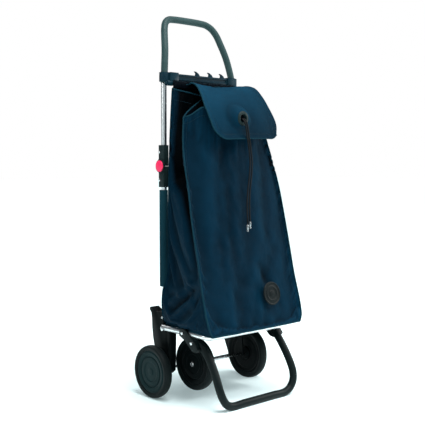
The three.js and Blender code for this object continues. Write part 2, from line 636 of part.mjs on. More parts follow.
function buildFlap() {
  const inside = offsetLine(FLAP_LINE, FLAP_THICK);
  const strip = slabX([...FLAP_LINE, ...inside.reverse()], FLAP_X - FLAP_HALF_X, FLAP_X + FLAP_HALF_X);
  const low = new THREE.Shape();
  const corner = 34;
  const left = FLAP_X - FLAP_HALF_X;
  const right = FLAP_X + FLAP_HALF_X;
  low.moveTo(left, 920);
  low.lineTo(left, FLAP_LOW_Z + corner);
  low.absarc(left + corner, FLAP_LOW_Z + corner, corner, Math.PI, Math.PI * 1.5);
  low.absarc(right - corner, FLAP_LOW_Z + corner, corner, Math.PI * 1.5, Math.PI * 2);
  low.lineTo(right, 920);
  const frontView = new THREE.ExtrudeGeometry(low, { depth: 300, bevelEnabled: false, curveSegments: 6 });
  frontView.rotateX(Math.PI / 2).translate(0, 150, 0);
  const hole = rodY(14.4, FLAP_FRONT_Y - 10, FLAP_FRONT_Y + 20, 0, EYELET_Z, 28);
  addPiece('bag_flap', cut(overlap(strip, frontView), hole), LOOKS.fabric);
  const front = FLAP_FRONT_Y - 4;
  const profile = [
    [11.5, front], [19, front], [20.5, front + 1.5], [20.5, front + 3.7], [14, front + 3.7], [14, front + 8.4],
    [20.5, front + 8.4], [20.5, front + 10.4], [11.5, front + 10.4], [11.5, front],
  ];
  const eyelet = new THREE.LatheGeometry(profile.map(([r, y]) => new THREE.Vector2(r, y)), 24);
  addPiece('flap_eyelet', eyelet.translate(0, 0, EYELET_Z), LOOKS.plastic);
}

function buildBadge() {
  const badge = rodY(33, -142.5, -139.5, 62, 299, 28);
  const lean = new THREE.Matrix4().makeRotationX(THREE.MathUtils.degToRad(-12));
  badge.translate(-62, 141, -299).applyMatrix4(lean).translate(62, -141.6, 299);
  addPiece('bag_badge', badge, LOOKS.plastic);
}

// Draw cord ends: out of the bag's front hem, through the eyelet and down the front.
const CORD_ROUTE = [
  [0, -66, 806], [0, -71, 800], [0, -79, 793], [0, -90, 788], [1, -97, 779], [4, -98.5, 764],
  [10, -97, 742], [16, -96, 718], [20, -96, 694], [21, -98, 670], [18, -100, 645], [12, -103, 618],
  [5, -106, 590], [0, -109, 562], [-3, -112, 535], [-4, -115, 508],
];

function buildCord(number, shiftX, extraLength) {
  const route = CORD_ROUTE.map(([x, y, z], i) => {
    const spread = 0.65 + (0.35 * i) / CORD_ROUTE.length;
    return [x + shiftX * spread, y, z];
  });
  const last = route[route.length - 1];
  const end = [last[0], last[1], last[2] - extraLength];
  addPiece(`draw_cord_${number}`, bentBar([...route, end], CORD_R, 28, 8), LOOKS.cord);
  const tip = rodZ(3.2, end[2] - 2 * GAP, end[2] - 20, end[0], end[1], 12);
  addPiece(`cord_tip_${number}`, tip, LOOKS.steel);
}

bothSides(buildUprights);
bothSides(buildFoldHousing);
buildHandle();
buildCrossbar();
bothSides(buildClamp);
bothSides(buildRearBracket);
bothSides(buildWheels);
buildBase();
bothSides(buildStrut);
bothSides(buildFootConnector);
buildBag();
bothSides(buildSleeve);
buildFlap();
buildBadge();
buildCord(1, -4.6, 12);
buildCord(2, 4.6, 4);

export default trolley;
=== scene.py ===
"""Looks of the folding shopping trolley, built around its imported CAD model. Metres, +Z up, front -Y."""
import math

import bpy
import numpy as np
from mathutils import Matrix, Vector, noise


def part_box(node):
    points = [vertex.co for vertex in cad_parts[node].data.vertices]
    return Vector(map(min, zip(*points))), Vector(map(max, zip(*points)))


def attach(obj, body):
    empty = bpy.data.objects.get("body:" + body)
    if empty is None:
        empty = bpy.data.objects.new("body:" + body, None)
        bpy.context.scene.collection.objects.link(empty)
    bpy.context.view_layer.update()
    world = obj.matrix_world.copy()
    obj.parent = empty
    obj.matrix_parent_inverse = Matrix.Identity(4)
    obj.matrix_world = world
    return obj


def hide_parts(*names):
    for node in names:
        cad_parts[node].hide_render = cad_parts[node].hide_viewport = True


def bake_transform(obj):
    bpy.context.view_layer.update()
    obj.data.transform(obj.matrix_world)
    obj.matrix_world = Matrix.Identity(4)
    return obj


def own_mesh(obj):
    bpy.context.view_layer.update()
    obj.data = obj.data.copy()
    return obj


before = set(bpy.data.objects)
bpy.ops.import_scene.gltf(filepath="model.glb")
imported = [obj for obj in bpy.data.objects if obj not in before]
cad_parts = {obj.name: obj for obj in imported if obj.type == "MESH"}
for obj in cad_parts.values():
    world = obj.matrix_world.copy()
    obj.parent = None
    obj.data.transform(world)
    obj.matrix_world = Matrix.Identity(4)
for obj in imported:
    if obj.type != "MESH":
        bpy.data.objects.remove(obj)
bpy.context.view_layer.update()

MM = 0.001
SIDES = ((-1, "left"), (1, "right"))


def box_of(node):
    """Lowest corner, highest corner and middle of a CAD node."""
    low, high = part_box(node)
    return low, high, (low + high) / 2


def clamp(t):
    return min(max(t, 0.0), 1.0)


def ease(t):
    """A smooth step from 0 to 1."""
    t = clamp(t)
    return t * t * (3 - 2 * t)


# ---------- camera ----------
CAMERA_AT = (-1.5516, -1.6883, 0.6603)
CAMERA_YAW = 41.9
CAMERA_DOWN = 3.4
CAMERA_ANGLE = 29.96


def make_camera():
    data = bpy.data.cameras.new("camera")
    data.angle = math.radians(CAMERA_ANGLE)
    camera = bpy.data.objects.new("camera", data)
    camera.location = CAMERA_AT
    camera.rotation_euler = (math.radians(90 - CAMERA_DOWN), 0, math.radians(-CAMERA_YAW))
    bpy.context.scene.collection.objects.link(camera)
    bpy.context.scene.camera = camera


make_camera()


# ---------- mesh helpers ----------
class Build:
    """Collects vertices and faces of one piece, with a material number on each face."""

    def __init__(self):
        self.verts, self.faces, self.slots = [], [], []

    def add(self, verts, faces, slot=0):
        start = len(self.verts)
        self.verts.extend(tuple(float(c) for c in v) for v in verts)
        self.faces.extend(tuple(start + i for i in f) for f in faces)
        self.slots.extend([slot] * len(faces))
        return start

    def piece(self, name, materials, sharp=35):
        mesh = bpy.data.meshes.new(name)
        mesh.from_pydata(self.verts, [], self.faces)
        for m in materials:
            mesh.materials.append(m)
        mesh.polygons.foreach_set("material_index", self.slots)
        mesh.polygons.foreach_set("use_smooth", [True] * len(mesh.polygons))
        mesh.set_sharp_from_angle(angle=math.radians(sharp))
        mesh.update()
        made = bpy.data.objects.new(name, mesh)
        bpy.context.scene.collection.objects.link(made)
        return made


def flipped(faces):
    return [tuple(reversed(f)) for f in faces]


def grid_faces(rows, columns, wrap=False):
    """The faces of a grid of points, row by row. With wrap, the last column joins the first."""
    faces = []
    for r in range(rows - 1):
        for c in range(columns if wrap else columns - 1):
            d = (c + 1) % columns
            faces.append((r * columns + c, r * columns + d, (r + 1) * columns + d, (r + 1) * columns + c))
    return faces


def add_sheet(build, outer, inner, faces, inner_slot=0):
    """Two skins of cloth with the same faces, joined along every open edge."""
    a = build.add(outer.reshape(-1, 3), faces)
    b = build.add(inner.reshape(-1, 3), flipped(faces), inner_slot)
    edges = dict.fromkeys(edge for f in faces for edge in zip(f, f[1:] + f[:1]))
    joins = [(a + j, a + i, b + i, b + j) for i, j in edges if (j, i) not in edges]
    build.faces.extend(joins)
    build.slots.extend([0] * len(joins))


def frames_along(points):
    """Tangent and two steady cross directions at each point of a line."""
    p = np.asarray(points, float)
    tangent = np.gradient(p, axis=0)
    tangent /= np.linalg.norm(tangent, axis=1)[:, None]
    first = np.cross(tangent[0], [0.0, 0.0, 1.0])
    if np.linalg.norm(first) < 0.1:
        first = np.cross(tangent[0], [0.0, 1.0, 0.0])
    side = [first / np.linalg.norm(first)]
    for t in tangent[1:]:
        s = side[-1] - t * (side[-1] @ t)
        side.append(s / np.linalg.norm(s))
    side = np.array(side)
    return p, tangent, side, np.cross(tangent, side)


def tube(build, points, radius, sides=24, slot=0, closed=True):
    """A round bar along a line. radius is one number, one per point, or a (points, sides) table."""
    p, _, a, b = frames_along(points)
    angle = np.arange(sides) * 2 * math.pi / sides
    r = np.asarray(radius, float)
    table = np.broadcast_to(r if r.ndim == 2 else r.reshape(-1, 1), (len(p), sides))
    ring = p[:, None] + table[:, :, None] * (
        a[:, None] * np.cos(angle)[None, :, None] + b[:, None] * np.sin(angle)[None, :, None])
    faces = grid_faces(len(p), sides, wrap=True)
    if closed:
        faces.append(tuple(reversed(range(sides))))
        last = (len(p) - 1) * sides
        faces.append(tuple(last + j for j in range(sides)))
    return build.add(ring.reshape(-1, 3), faces, slot)


def rounded_rod(build, points, radius, sides=24, edge=1.2 * MM):
    """A bar whose two ends have a small rounded edge."""
    p = np.asarray(points, float)
    radii = np.full(len(p), radius)
    start, end = p[1] - p[0], p[-1] - p[-2]
    start, end = start / np.linalg.norm(start), end / np.linalg.norm(end)
    p = np.vstack([p[0], p[0] + start * edge * 0.3, p[0] + start * edge, p[1:-1],
                   p[-1] - end * edge, p[-1] - end * edge * 0.3, p[-1]])
    radii = np.concatenate([[radius - edge, radius - edge * 0.3, radius], radii[1:-1],
                            [radius, radius - edge * 0.3, radius - edge]])
    return tube(build, p, radii, sides)


def lathe(build, profile, centre, axis, segments=64):
    """Turns a profile of (radius, along) points about an axis. Points on the axis become one point."""
    axis = Vector(axis).normalized()
    u = axis.orthogonal().normalized()
    v = axis.cross(u)
    centre = Vector(centre)
    verts, rings = [], []
    for r, along in profile:
        if r < 1e-7:
            rings.append([len(verts)])
            verts.append(centre + axis * along)
            continue
        rings.append(list(range(len(verts), len(verts) + segments)))
        for s in range(segments):
            a = 2 * math.pi * s / segments
            verts.append(centre + axis * along + (u * math.cos(a) + v * math.sin(a)) * r)
    faces = []
    pairs = list(zip(rings[:-1], rings[1:]))
    if len(rings[0]) > 1 and len(rings[-1]) > 1:
        pairs.append((rings[-1], rings[0]))
    for low, high in pairs:
        for s in range(segments):
            t = (s + 1) % segments
            if len(low) == 1:
                faces.append((low[0], high[t], high[s]))
            elif len(high) == 1:
                faces.append((low[s], low[t], high[0]))
            else:
                faces.append((low[s], low[t], high[t], high[s]))
    return build.add(verts, faces)


def smooth_profile(points, radius, steps=3):
    """Rounds the corners of a (radius, along) profile."""
    p = [np.array(q, float) for q in points]
    out = [p[0]]
    for before, here, after in zip(p, p[1:], p[2:]):
        a, b = before - here, after - here
        la, lb = np.linalg.norm(a), np.linalg.norm(b)
        cut = min(radius, la * 0.45, lb * 0.45)
        a, b = here + a / la * cut, here + b / lb * cut
        for k in range(steps + 1):
            t = k / steps
            out.append(a * (1 - t) ** 2 + here * 2 * t * (1 - t) + b * t * t)
    out.append(p[-1])
    return [tuple(q) for q in out]


def catmull_rom(points, count):
    """A centripetal Catmull-Rom line through the points, as count evenly spaced points."""
    steps = 24
    p = np.asarray(points, float)
    p = np.vstack([2 * p[0] - p[1], p, 2 * p[-1] - p[-2]])
    line = []
    for i in range(1, len(p) - 2):
        knots = [0.0]
        for a, b in ((p[i - 1], p[i]), (p[i], p[i + 1]), (p[i + 1], p[i + 2])):
            knots.append(knots[-1] + max(np.linalg.norm(b - a), 1e-9) ** 0.5)
        t0, t1, t2, t3 = knots
        for t in np.linspace(t1, t2, steps, endpoint=False):
            a1 = (t1 - t) / (t1 - t0) * p[i - 1] + (t - t0) / (t1 - t0) * p[i]
            a2 = (t2 - t) / (t2 - t1) * p[i] + (t - t1) / (t2 - t1) * p[i + 1]
            a3 = (t3 - t) / (t3 - t2) * p[i + 1] + (t - t2) / (t3 - t2) * p[i + 2]
            b1 = (t2 - t) / (t2 - t0) * a1 + (t - t0) / (t2 - t0) * a2
            b2 = (t3 - t) / (t3 - t1) * a2 + (t - t1) / (t3 - t1) * a3
            line.append((t2 - t) / (t2 - t1) * b1 + (t - t1) / (t2 - t1) * b2)
    line.append(p[-2])
    return resampled(line, count)


def distance_along(line):
    return np.concatenate([[0], np.cumsum(np.linalg.norm(np.diff(line, axis=0), axis=1))])


def resampled(line, count):
    line = np.asarray(line, float)
    along = distance_along(line)
    want = np.linspace(0, along[-1], count)
    return np.stack([np.interp(want, along, line[:, k]) for k in range(3)], axis=1)


def mirrored(path):
    return list(path) + [(-x, y, z) for x, y, z in reversed(path[:-1])]


def stands_for(piece, body, slot, *nodes):
    """The piece rides on body and replaces the CAD nodes. slot is not used."""
    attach(piece, body)
    if nodes:
        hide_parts(*nodes)
    return piece


# ---------- materials ----------
class Nodes:
    """A short way to write a node material."""

    def __init__(self, name):
        self.material = bpy.data.materials.new(name)
        self.material.use_nodes = True
        self.tree = self.material.node_tree
        self.shader = self.tree.nodes["Principled BSDF"]
        self.place = self.tree.nodes.new("ShaderNodeTexCoord").outputs["Object"]

    def node(self, kind, **values):
        n = self.tree.nodes.new(kind)
        for key, value in values.items():
            if key in n.bl_rna.properties:
                setattr(n, key, value)
            else:
                self.put(n.inputs[key.replace("_", " ")], value)
        return n

    def put(self, socket, value):
        if isinstance(value, bpy.types.NodeSocket):
            self.tree.links.new(value, socket)
        else:
            socket.default_value = value

    def noise(self, scale, detail=3.0, stretch=None, rough=0.5):
        n = self.node("ShaderNodeTexNoise", Scale=scale, Detail=detail, Roughness=rough)
        place = self.place
        if stretch:
            place = self.node("ShaderNodeMapping", Vector=place, Scale=stretch).outputs[0]
        self.put(n.inputs["Vector"], place)
        return n.outputs["Fac"]

    def ramp(self, value, low, high, from_low=0.0, from_high=1.0):
        n = self.node("ShaderNodeMapRange")
        for socket, v in zip(n.inputs, (value, from_low, from_high, low, high)):
            self.put(socket, v)
        return n.outputs[0]

    def math(self, operation, a, b=0.0):
        n = self.node("ShaderNodeMath", operation=operation)
        self.put(n.inputs[0], a)
        self.put(n.inputs[1], b)
        return n.outputs[0]

    def colours(self, value, *stops):
        n = self.node("ShaderNodeValToRGB")
        ramp = n.color_ramp
        while len(ramp.elements) < len(stops):
            ramp.elements.new(0.5)
        for element, (at, colour) in zip(ramp.elements, stops):
            element.position = at
            element.color = (*colour, 1)
        self.put(n.inputs["Fac"], value)
        return n.outputs["Color"]

    def bump(self, height, strength, distance, under=None):
        n = self.node("ShaderNodeBump", Strength=strength, Distance=distance)
        self.put(n.inputs["Height"], height)
        if under is not None:
            self.put(n.inputs["Normal"], under)
        return n.outputs["Normal"]

    def set(self, **values):
        for key, value in values.items():
            self.put(self.shader.inputs[key.replace("_", " ")], value)
        return self.material


def weave(m, pitch):
    """Height of a plain weave: warp and weft that cross in a chequer, on whichever plane faces out."""
    split = m.node("ShaderNodeSeparateXYZ")
    m.put(split.inputs[0], m.place)
    x, y, z = split.outputs
    across = m.math("ADD", x, m.math("MULTIPLY", y, 0.83))
    turn = 2 * math.pi / pitch
    warp = m.math("SINE", m.math("MULTIPLY", across, turn))
    weft = m.math("SINE", m.math("MULTIPLY", z, turn))
    return m.math("MULTIPLY", warp, weft)


def fabric(name, dark, light, sheen=0.06, pitch=0.0016):
    m = Nodes(name)
    broad = m.noise(7.0, 4.0, (1, 1, 0.35))
    fine = m.noise(420.0, 2.0)
    mixed = m.math("ADD", m.math("MULTIPLY", broad, 0.75), m.math("MULTIPLY", fine, 0.25))
    threads = weave(m, pitch)
    crumple = m.noise(38.0, 5.0, (1, 1, 0.6), 0.6)
    normal = m.bump(crumple, 0.35, 0.004)
    normal = m.bump(threads, 0.5, 0.0003, normal)
    normal = m.bump(fine, 0.25, 0.0003, normal)
    shade = m.node("ShaderNodeHueSaturation", Color=m.colours(mixed, (0.3, dark), (0.72, light)))
    # Painted shade and light: the fold attribute darkens the cloth in hollow places and folds, and lightens it
    # on ridges.
    fold = m.node("ShaderNodeAttribute", attribute_name="fold").outputs["Fac"]
    m.put(shade.inputs["Value"], m.ramp(fold, 1.45, 0.04, -0.5, 0.8))
    return m.set(Base_Color=shade.outputs["Color"], Roughness=m.ramp(mixed, 0.46, 0.62),
                 Specular_IOR_Level=0.02, Sheen_Weight=sheen, Sheen_Roughness=0.35,
                 Sheen_Tint=(0.1, 0.5, 0.8, 1), Normal=normal)


def plastic(name, dark, light, rough=(0.4, 0.55), grain=0.12, gloss=0.1):
    m = Nodes(name)
    cloud = m.noise(16.0, 4.0)
    texture = m.noise(1500.0, 2.0)
    scuff = m.noise(90.0, 6.0, (1, 1, 0.2), 0.7)
    normal = m.bump(texture, grain, 0.0003)
    normal = m.bump(scuff, 0.05, 0.0004, normal)
    return m.set(Base_Color=m.colours(cloud, (0.3, dark), (0.75, light)),
                 Roughness=m.ramp(scuff, *rough), Specular_IOR_Level=gloss, Normal=normal)


def metal(name, colour, rough=(0.2, 0.36), drawn=(1, 1, 0.02)):
    m = Nodes(name)
    lines = m.noise(900.0, 2.0, drawn)
    cloud = m.noise(20.0, 3.0)
    worn = [c * 0.86 for c in colour]
    return m.set(Base_Color=m.colours(cloud, (0.3, worn), (0.7, colour)), Metallic=1.0,
                 Roughness=m.ramp(lines, *rough), Normal=m.bump(lines, 0.08, 0.0002))


def braid_material(name, dark, light):
    m = Nodes(name)
    strands = m.noise(1100.0, 2.0)
    return m.set(Base_Color=m.colours(strands, (0.35, dark), (0.7, light)), Roughness=0.6,
                 Specular_IOR_Level=0.15, Normal=m.bump(strands, 0.4, 0.0003))


BAG_CLOTH = fabric("bag_cloth", (0.0004, 0.0088, 0.0186), (0.0013, 0.0195, 0.0395), 0.04)
# The flap's cloth is the bag's cloth made lighter: painted light for the flap's top.
FLAP_CLOTH_PAINTED_LIT = fabric("flap_cloth_painted_lit", (0.0007, 0.0135, 0.029), (0.0028, 0.0350, 0.067), 0.08)
BAG_LINING = fabric("bag_lining", (0.0008, 0.002, 0.004), (0.0015, 0.004, 0.007), 0.0)
BAG_PIPING = fabric("bag_piping", (0.003, 0.022, 0.036), (0.008, 0.042, 0.06), 0.1, 0.001)
CORD_BLACK = braid_material("cord_black", (0.0008, 0.001, 0.0014), (0.005, 0.006, 0.007))
BAG_THREAD = braid_material("bag_thread", (0.003, 0.016, 0.026), (0.012, 0.045, 0.066))
SLEEVE_CLOTH = fabric("sleeve_cloth", (0.003, 0.022, 0.034), (0.009, 0.046, 0.062), 0.1)
ALUMINIUM = metal("drawn_aluminium", (0.80, 0.82, 0.83))
ALUMINIUM_ACROSS = metal("drawn_aluminium_across", (0.80, 0.82, 0.83), (0.2, 0.36), (0.02, 0.02, 1))
DULL_STEEL = metal("dull_steel", (0.34, 0.36, 0.37), (0.3, 0.45), (1, 1, 1))
STEEL = metal("zinc_steel", (0.74, 0.75, 0.76), (0.16, 0.3), (1, 1, 1))
GRIP = plastic("handle_grip", (0.015, 0.040, 0.041), (0.025, 0.055, 0.056), (0.42, 0.55), 0.3, 0.16)
FOOT_COAT = plastic("foot_coat", (0.0018, 0.005, 0.0054), (0.0034, 0.0082, 0.0088), (0.38, 0.5), 0.08, 0.12)
BLACK = plastic("black_plastic", (0.0016, 0.003, 0.0034), (0.003, 0.0055, 0.006), (0.36, 0.5), 0.12, 0.05)
HOUSING = plastic("housing_plastic", (0.006, 0.014, 0.0145), (0.012, 0.024, 0.025), (0.36, 0.48))
BADGE = plastic("badge_plastic", (0.002, 0.0045, 0.005), (0.0045, 0.0085, 0.009), (0.38, 0.5), 0.1, 0.12)
BLUE_BLACK = plastic("blue_black_plastic", (0.0016, 0.0125, 0.021), (0.005, 0.025, 0.037), (0.32, 0.46),
                     0.12, 0.08)
BUTTON_RED = plastic("button_red", (0.86, 0.014, 0.095), (0.95, 0.022, 0.12), (0.24, 0.34), 0.04, 0.4)
RUBBER = plastic("tyre_rubber", (0.0018, 0.0045, 0.005), (0.0036, 0.0075, 0.008), (0.5, 0.66), 0.3, 0.12)
HUB = plastic("hub_plastic", (0.0026, 0.012, 0.0135), (0.0055, 0.019, 0.021), (0.36, 0.5), 0.15, 0.06)


# ---------- cords ----------
# From behind the eyelet down to the tip, in mm.
CORD_ROUTE = [
    (0, -66, 806), (0, -71, 800), (0, -79, 793), (0, -90, 788), (1, -97, 779), (4, -98.5, 764),
    (10, -97, 742), (16, -96, 718), (20, -96, 694), (21, -98, 670), (18, -100, 645), (12, -103, 618),
    (5, -106, 590), (0, -109, 562), (-3, -112, 535), (-4, -115, 508),
]
CORD_RADIUS = 2.2 * MM


def make_cord_tip(number):
    low, high, centre = box_of(f"cord_tip_{number}")
    top, bottom, r = high.z, low.z, (high.x - low.x) / 2
    groove = r * 0.88
    profile = [(0, bottom), (r * 0.7, bottom), (r, bottom + 1.2 * MM), (r, bottom + 4 * MM),
               (groove, bottom + 4.8 * MM), (groove, bottom + 6.2 * MM), (r, bottom + 7 * MM),
               (r, top - 1.5 * MM), (r * 0.74, top), (0, top)]
    build = Build()
    lathe(build, profile, (centre.x, centre.y, 0), (0, 0, 1), 32)
    tip = build.piece(f"cord_{number}_tip", [DULL_STEEL])
    return stands_for(tip, "bag_top", "bright_steel", f"cord_tip_{number}")


def make_cord(number, shift, extra):
    """One end of the draw cord, moved sideways by shift mm and longer than the route by extra mm."""
    route = []
    for i, (x, y, z) in enumerate(CORD_ROUTE):
        route.append((x + shift * (0.65 + 0.35 * i / len(CORD_ROUTE)), y, z))
    x, y, z = route[-1]
    route.append((x, y, z - extra))
    line = catmull_rom(np.array(route) * MM, 260)
    sides = 16
    turn = np.arange(sides) / sides * 2 * math.pi
    along = np.arange(len(line))[:, None] * 0.75
    plait = np.sin(along + 2 * turn[None]) * np.sin(along - 2 * turn[None])
    build = Build()
    tube(build, line, CORD_RADIUS * (0.97 + 0.09 * plait), sides)
    piece = build.piece(f"cord_{number}", [CORD_BLACK], 80)
    stands_for(piece, "bag_top", "black_cord", f"draw_cord_{number}")
    make_cord_tip(number)


def make_cords():
    make_cord(1, -4.6, 12)
    make_cord(2, 4.6, 4)


# ---------- tubes, handle and foot ----------
HANDLE_PATH = [
    (-134.5, 98, 885), (-131.5, 100, 915), (-126, 105, 950), (-118, 113.5, 990), (-108, 128, 1032),
    (-101, 137, 1056), (-90, 146, 1075), (-73, 152.5, 1086), (-52, 155, 1089), (0, 155.5, 1090),
]
FOOT_PATH = [
    (-149, -53, 180), (-144, -84, 160), (-143, -113, 127), (-144.5, -134, 93), (-144.5, -148, 62),
    (-138, -154, 38), (-124, -154.5, 19), (-103, -154.5, 10.4), (-60, -154.5, 10.4), (0, -154.5, 10.4),
]
HANDLE_RADIUS = 10 * MM
FOOT_RADIUS = 11 * MM


def straight(a, b, count=12):
    return np.linspace(np.asarray(a, float), np.asarray(b, float), count)


def hollow_tube(build, points, radius, wall=1.4 * MM, sides=40):
    """A tube with open ends and a real wall."""
    count = len(points)
    outside = tube(build, points, radius, sides, closed=False)
    inside = tube(build, points, radius - wall, sides, closed=False)
    wall_faces = (count - 1) * sides
    build.faces[-wall_faces:] = flipped(build.faces[-wall_faces:])
    last = (count - 1) * sides
    rims = []
    for j in range(sides):
        k = (j + 1) % sides
        rims.append((outside + k, outside + j, inside + j, inside + k))
        rims.append((outside + last + j, outside + last + k, inside + last + k, inside + last + j))
    build.faces.extend(rims)
    build.slots.extend([0] * len(rims))


def make_uprights():
    for side, label in SIDES:
        for part, body in (("lower", "lower_frame"), ("upper", "upper_frame")):
            node = f"{part}_upright_{label}"
            low, high, c = box_of(node)
            build = Build()
            hollow_tube(build, straight((c.x, c.y, low.z), (c.x, c.y, high.z)), (high.x - low.x) / 2)
            piece = build.piece(f"{part}_tube_{label}", [ALUMINIUM])
            stands_for(piece, body, "aluminium_tube", node)


def make_handle():
    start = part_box("handle_loop")[0].z
    line = catmull_rom(np.array(mirrored(HANDLE_PATH)) * MM, 320)
    line = line[line[:, 2] > start + 0.4 * MM]
    build = Build()
    rounded_rod(build, line, HANDLE_RADIUS, 40, edge=1.5 * MM)
    stands_for(build.piece("handle", [GRIP]), "upper_frame", "handle_coating", "handle_loop")


def make_foot():
    line = catmull_rom(np.array(mirrored(FOOT_PATH)) * MM, 300)
    build = Build()
    rounded_rod(build, line, FOOT_RADIUS, 40, edge=2 * MM)
    build.verts = [(x, y, max(z, 0.0)) for x, y, z in build.verts]
    stands_for(build.piece("foot", [FOOT_COAT]), "platform", "foot_coating", "loop_foot")


def make_base():
    """The platform's tube, open at the back, with rounded front corners."""
    low, high, c = box_of("base_frame")
    radius = (high.z - low.z) / 2
    x, front = high.x - radius, low.y + radius
    corner = 34 * MM
    left = [(-x, high.y, c.z), (-x, front + corner, c.z)]
    for k in range(1, 13):
        t = k / 12
        left.append((-x + corner * t * t, front + corner * (1 - t) ** 2, c.z))
    whole = left + [(-a, b, z) for a, b, z in reversed(left)]
    build = Build()
    hollow_tube(build, resampled(whole, 200), radius)
    piece = build.piece("platform_tube", [ALUMINIUM_ACROSS])
    stands_for(piece, "platform", "aluminium_tube", "base_frame")


def make_cross_tube():
    low, high, c = box_of("base_cross_tube")
    build = Build()
    rounded_rod(build, straight((low.x, c.y, c.z), (high.x, c.y, c.z)), (high.z - low.z) / 2, 32)
    piece = build.piece("platform_cross_tube", [ALUMINIUM_ACROSS])
    stands_for(piece, "platform", "aluminium_tube", "base_cross_tube")


# ---------- wheels ----------
# Rings of the hub's outer face and inner face: (radius, height over the face's plane) in mm.
HUB_FACE = (
    (9, -1.2), (10, -2.4), (27, -2.4), (28.5, -0.9), (41, -0.9), (42, -3.2), (44.5, -3.2), (46, -0.7),
    (53, 0.6), (55.5, 0.9), (57.5, -0.8),
)
HUB_BACK = ((54, 0.8), (52.5, 3.4), (46, 3.4), (44.5, 2.2), (24, 2.2), (22, 3.4), (19.5, 3.4), (18, -2))
AXLE_HOLE = 4.1 * MM


def make_tyre(name, c, axis, radius, half):
    wall = [(radius - 14.5 * MM, half - 3 * MM), (radius - 8 * MM, half - 0.4 * MM)]
    profile = [(r, -along) for r, along in wall]
    for k in range(13):
        a = -math.pi / 2 + math.pi * k / 12
        profile.append((radius - 6 * MM + 6 * MM * math.cos(a) ** 0.8, half * math.sin(a) * 0.98))
    build = Build()
    lathe(build, profile + wall[::-1], c, axis, 96)
    stands_for(build.piece(f"{name}_rubber", [RUBBER], 50), name, "tyre_rubber", f"{name}_tyre")


def make_hub(name, c, axis, radius, half, outer):
    """An outer wheel's hub has a closed cap, an inner one's a hole for its axle."""
    rim = radius - 14.8 * MM
    deep = half - 3 * MM
    face = [(0 if outer else AXLE_HOLE, deep - 1.2 * MM)]
    face += [(r * MM, deep + rise * MM) for r, rise in HUB_FACE] + [(rim, deep - 0.8 * MM)]
    back = [(rim, -deep + 0.8 * MM)] + [(r * MM, -deep + rise * MM) for r, rise in HUB_BACK]
    profile = smooth_profile(face + back + [(AXLE_HOLE, -deep - 2 * MM)], 0.7 * MM)
    if outer:
        profile += [(AXLE_HOLE, 4 * MM), (0, 4 * MM)]
    build = Build()
    lathe(build, profile, c, axis, 96)
    piece = build.piece(f"{name}_disc", [HUB if outer else BLACK], 40)
    stands_for(piece, name, "wheel_plastic", f"{name}_hub")


def make_wheels():
    for side, label in SIDES:
        for end in ("rear", "front"):
            name = f"{end}_wheel_{label}"
            low, high, c = box_of(f"{name}_tyre")
            size = ((high.z - low.z) / 2, (high.x - low.x) / 2)
            make_tyre(name, c, (side, 0, 0), *size)
            make_hub(name, c, (side, 0, 0), *size, outer=end == "rear")


# ---------- small fasteners and the buttons ----------
def quarter_round(steps=6):
    """Cosine and sine at even steps of a quarter turn, without its start."""
    angles = [math.pi / 2 * k / steps for k in range(1, steps + 1)]
    return [(math.cos(a), math.sin(a)) for a in angles]


def screw_head(build, centre, axis, radius, height):
    """A head with a rounded top and a cross recess."""
    profile = [(0, -0.4 * MM), (radius, -0.4 * MM), (radius, 0), (radius, height * 0.25)]
    profile += [(radius * c, height * (0.25 + 0.75 * s)) for c, s in quarter_round()]
    profile[-1] = (0, height)
    lathe(build, profile, centre, axis, 32)
    a = Vector(axis).normalized()
    u = a.orthogonal().normalized()
    v = a.cross(u)
    top = Vector(centre) + a * (height + 0.05 * MM)
    for one, two in ((u, v), (v, u)):
        p = [top + one * radius * 0.5 * i + two * radius * 0.09 * j - a * 0.6 * MM * k
             for k in (0, 1) for i, j in ((-1, -1), (1, -1), (1, 1), (-1, 1))]
        build.add(p, [(0, 1, 2, 3), (7, 6, 5, 4), (0, 4, 5, 1), (1, 5, 6, 2), (2, 6, 7, 3), (3, 7, 4, 0)], 1)


def outer_face(node, side):
    low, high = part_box(node)
    return high.x if side > 0 else low.x


def make_fasteners(side, label):
    out = (side, 0, 0)
    lower = Build()
    housing, bracket = (outer_face(f"{n}_{label}", side) for n in ("fold_housing_lower", "rear_bracket"))
    screw_head(lower, (housing, 0.106, 0.618), out, 3.6 * MM, 2.2 * MM)
    screw_head(lower, (bracket, 0.093, 0.223), out, 3.4 * MM, 1.8 * MM)
    piece = lower.piece(f"lower_screws_{label}", [STEEL, BLACK])
    stands_for(piece, "lower_frame", "bright_steel")
    upper = Build()
    screw_head(upper, (side * 145.5 * MM, 0.106, 0.698), out, 3.6 * MM, 2.2 * MM)
    clamp_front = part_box(f"crossbar_clamp_{label}")[0].y + 7.2 * MM
    for dz in (-7 * MM, 7 * MM):
        screw_head(upper, (side * 0.114, clamp_front, 0.911 + dz), (0, -1, 0), 2.8 * MM, 1.6 * MM)
    piece = upper.piece(f"upper_screws_{label}", [STEEL, BLACK])
    stands_for(piece, "upper_frame", "bright_steel")


def make_button(side, label):
    low, high, middle = box_of(f"release_button_{label}")
    radius, depth = (high.z - low.z) / 2, high.x - low.x
    profile = [(0, 0), (radius, 0), (radius, depth * 0.55)]
    profile += [(radius - 2.6 * MM * (1 - c), depth * (0.55 + 0.33 * s)) for c, s in quarter_round()]
    profile += [(radius * 0.55, depth * 0.97), (0, depth)]
    build = Build()
    inner = low.x if side > 0 else high.x
    lathe(build, profile, (inner, middle.y, middle.z), (side, 0, 0), 64)
    piece = build.piece(f"button_{label}", [BUTTON_RED], 60)
    stands_for(piece, f"button_{label}", "button_plastic", f"release_button_{label}")


def make_side_details():
    for side, label in SIDES:
        make_fasteners(side, label)
        make_button(side, label)


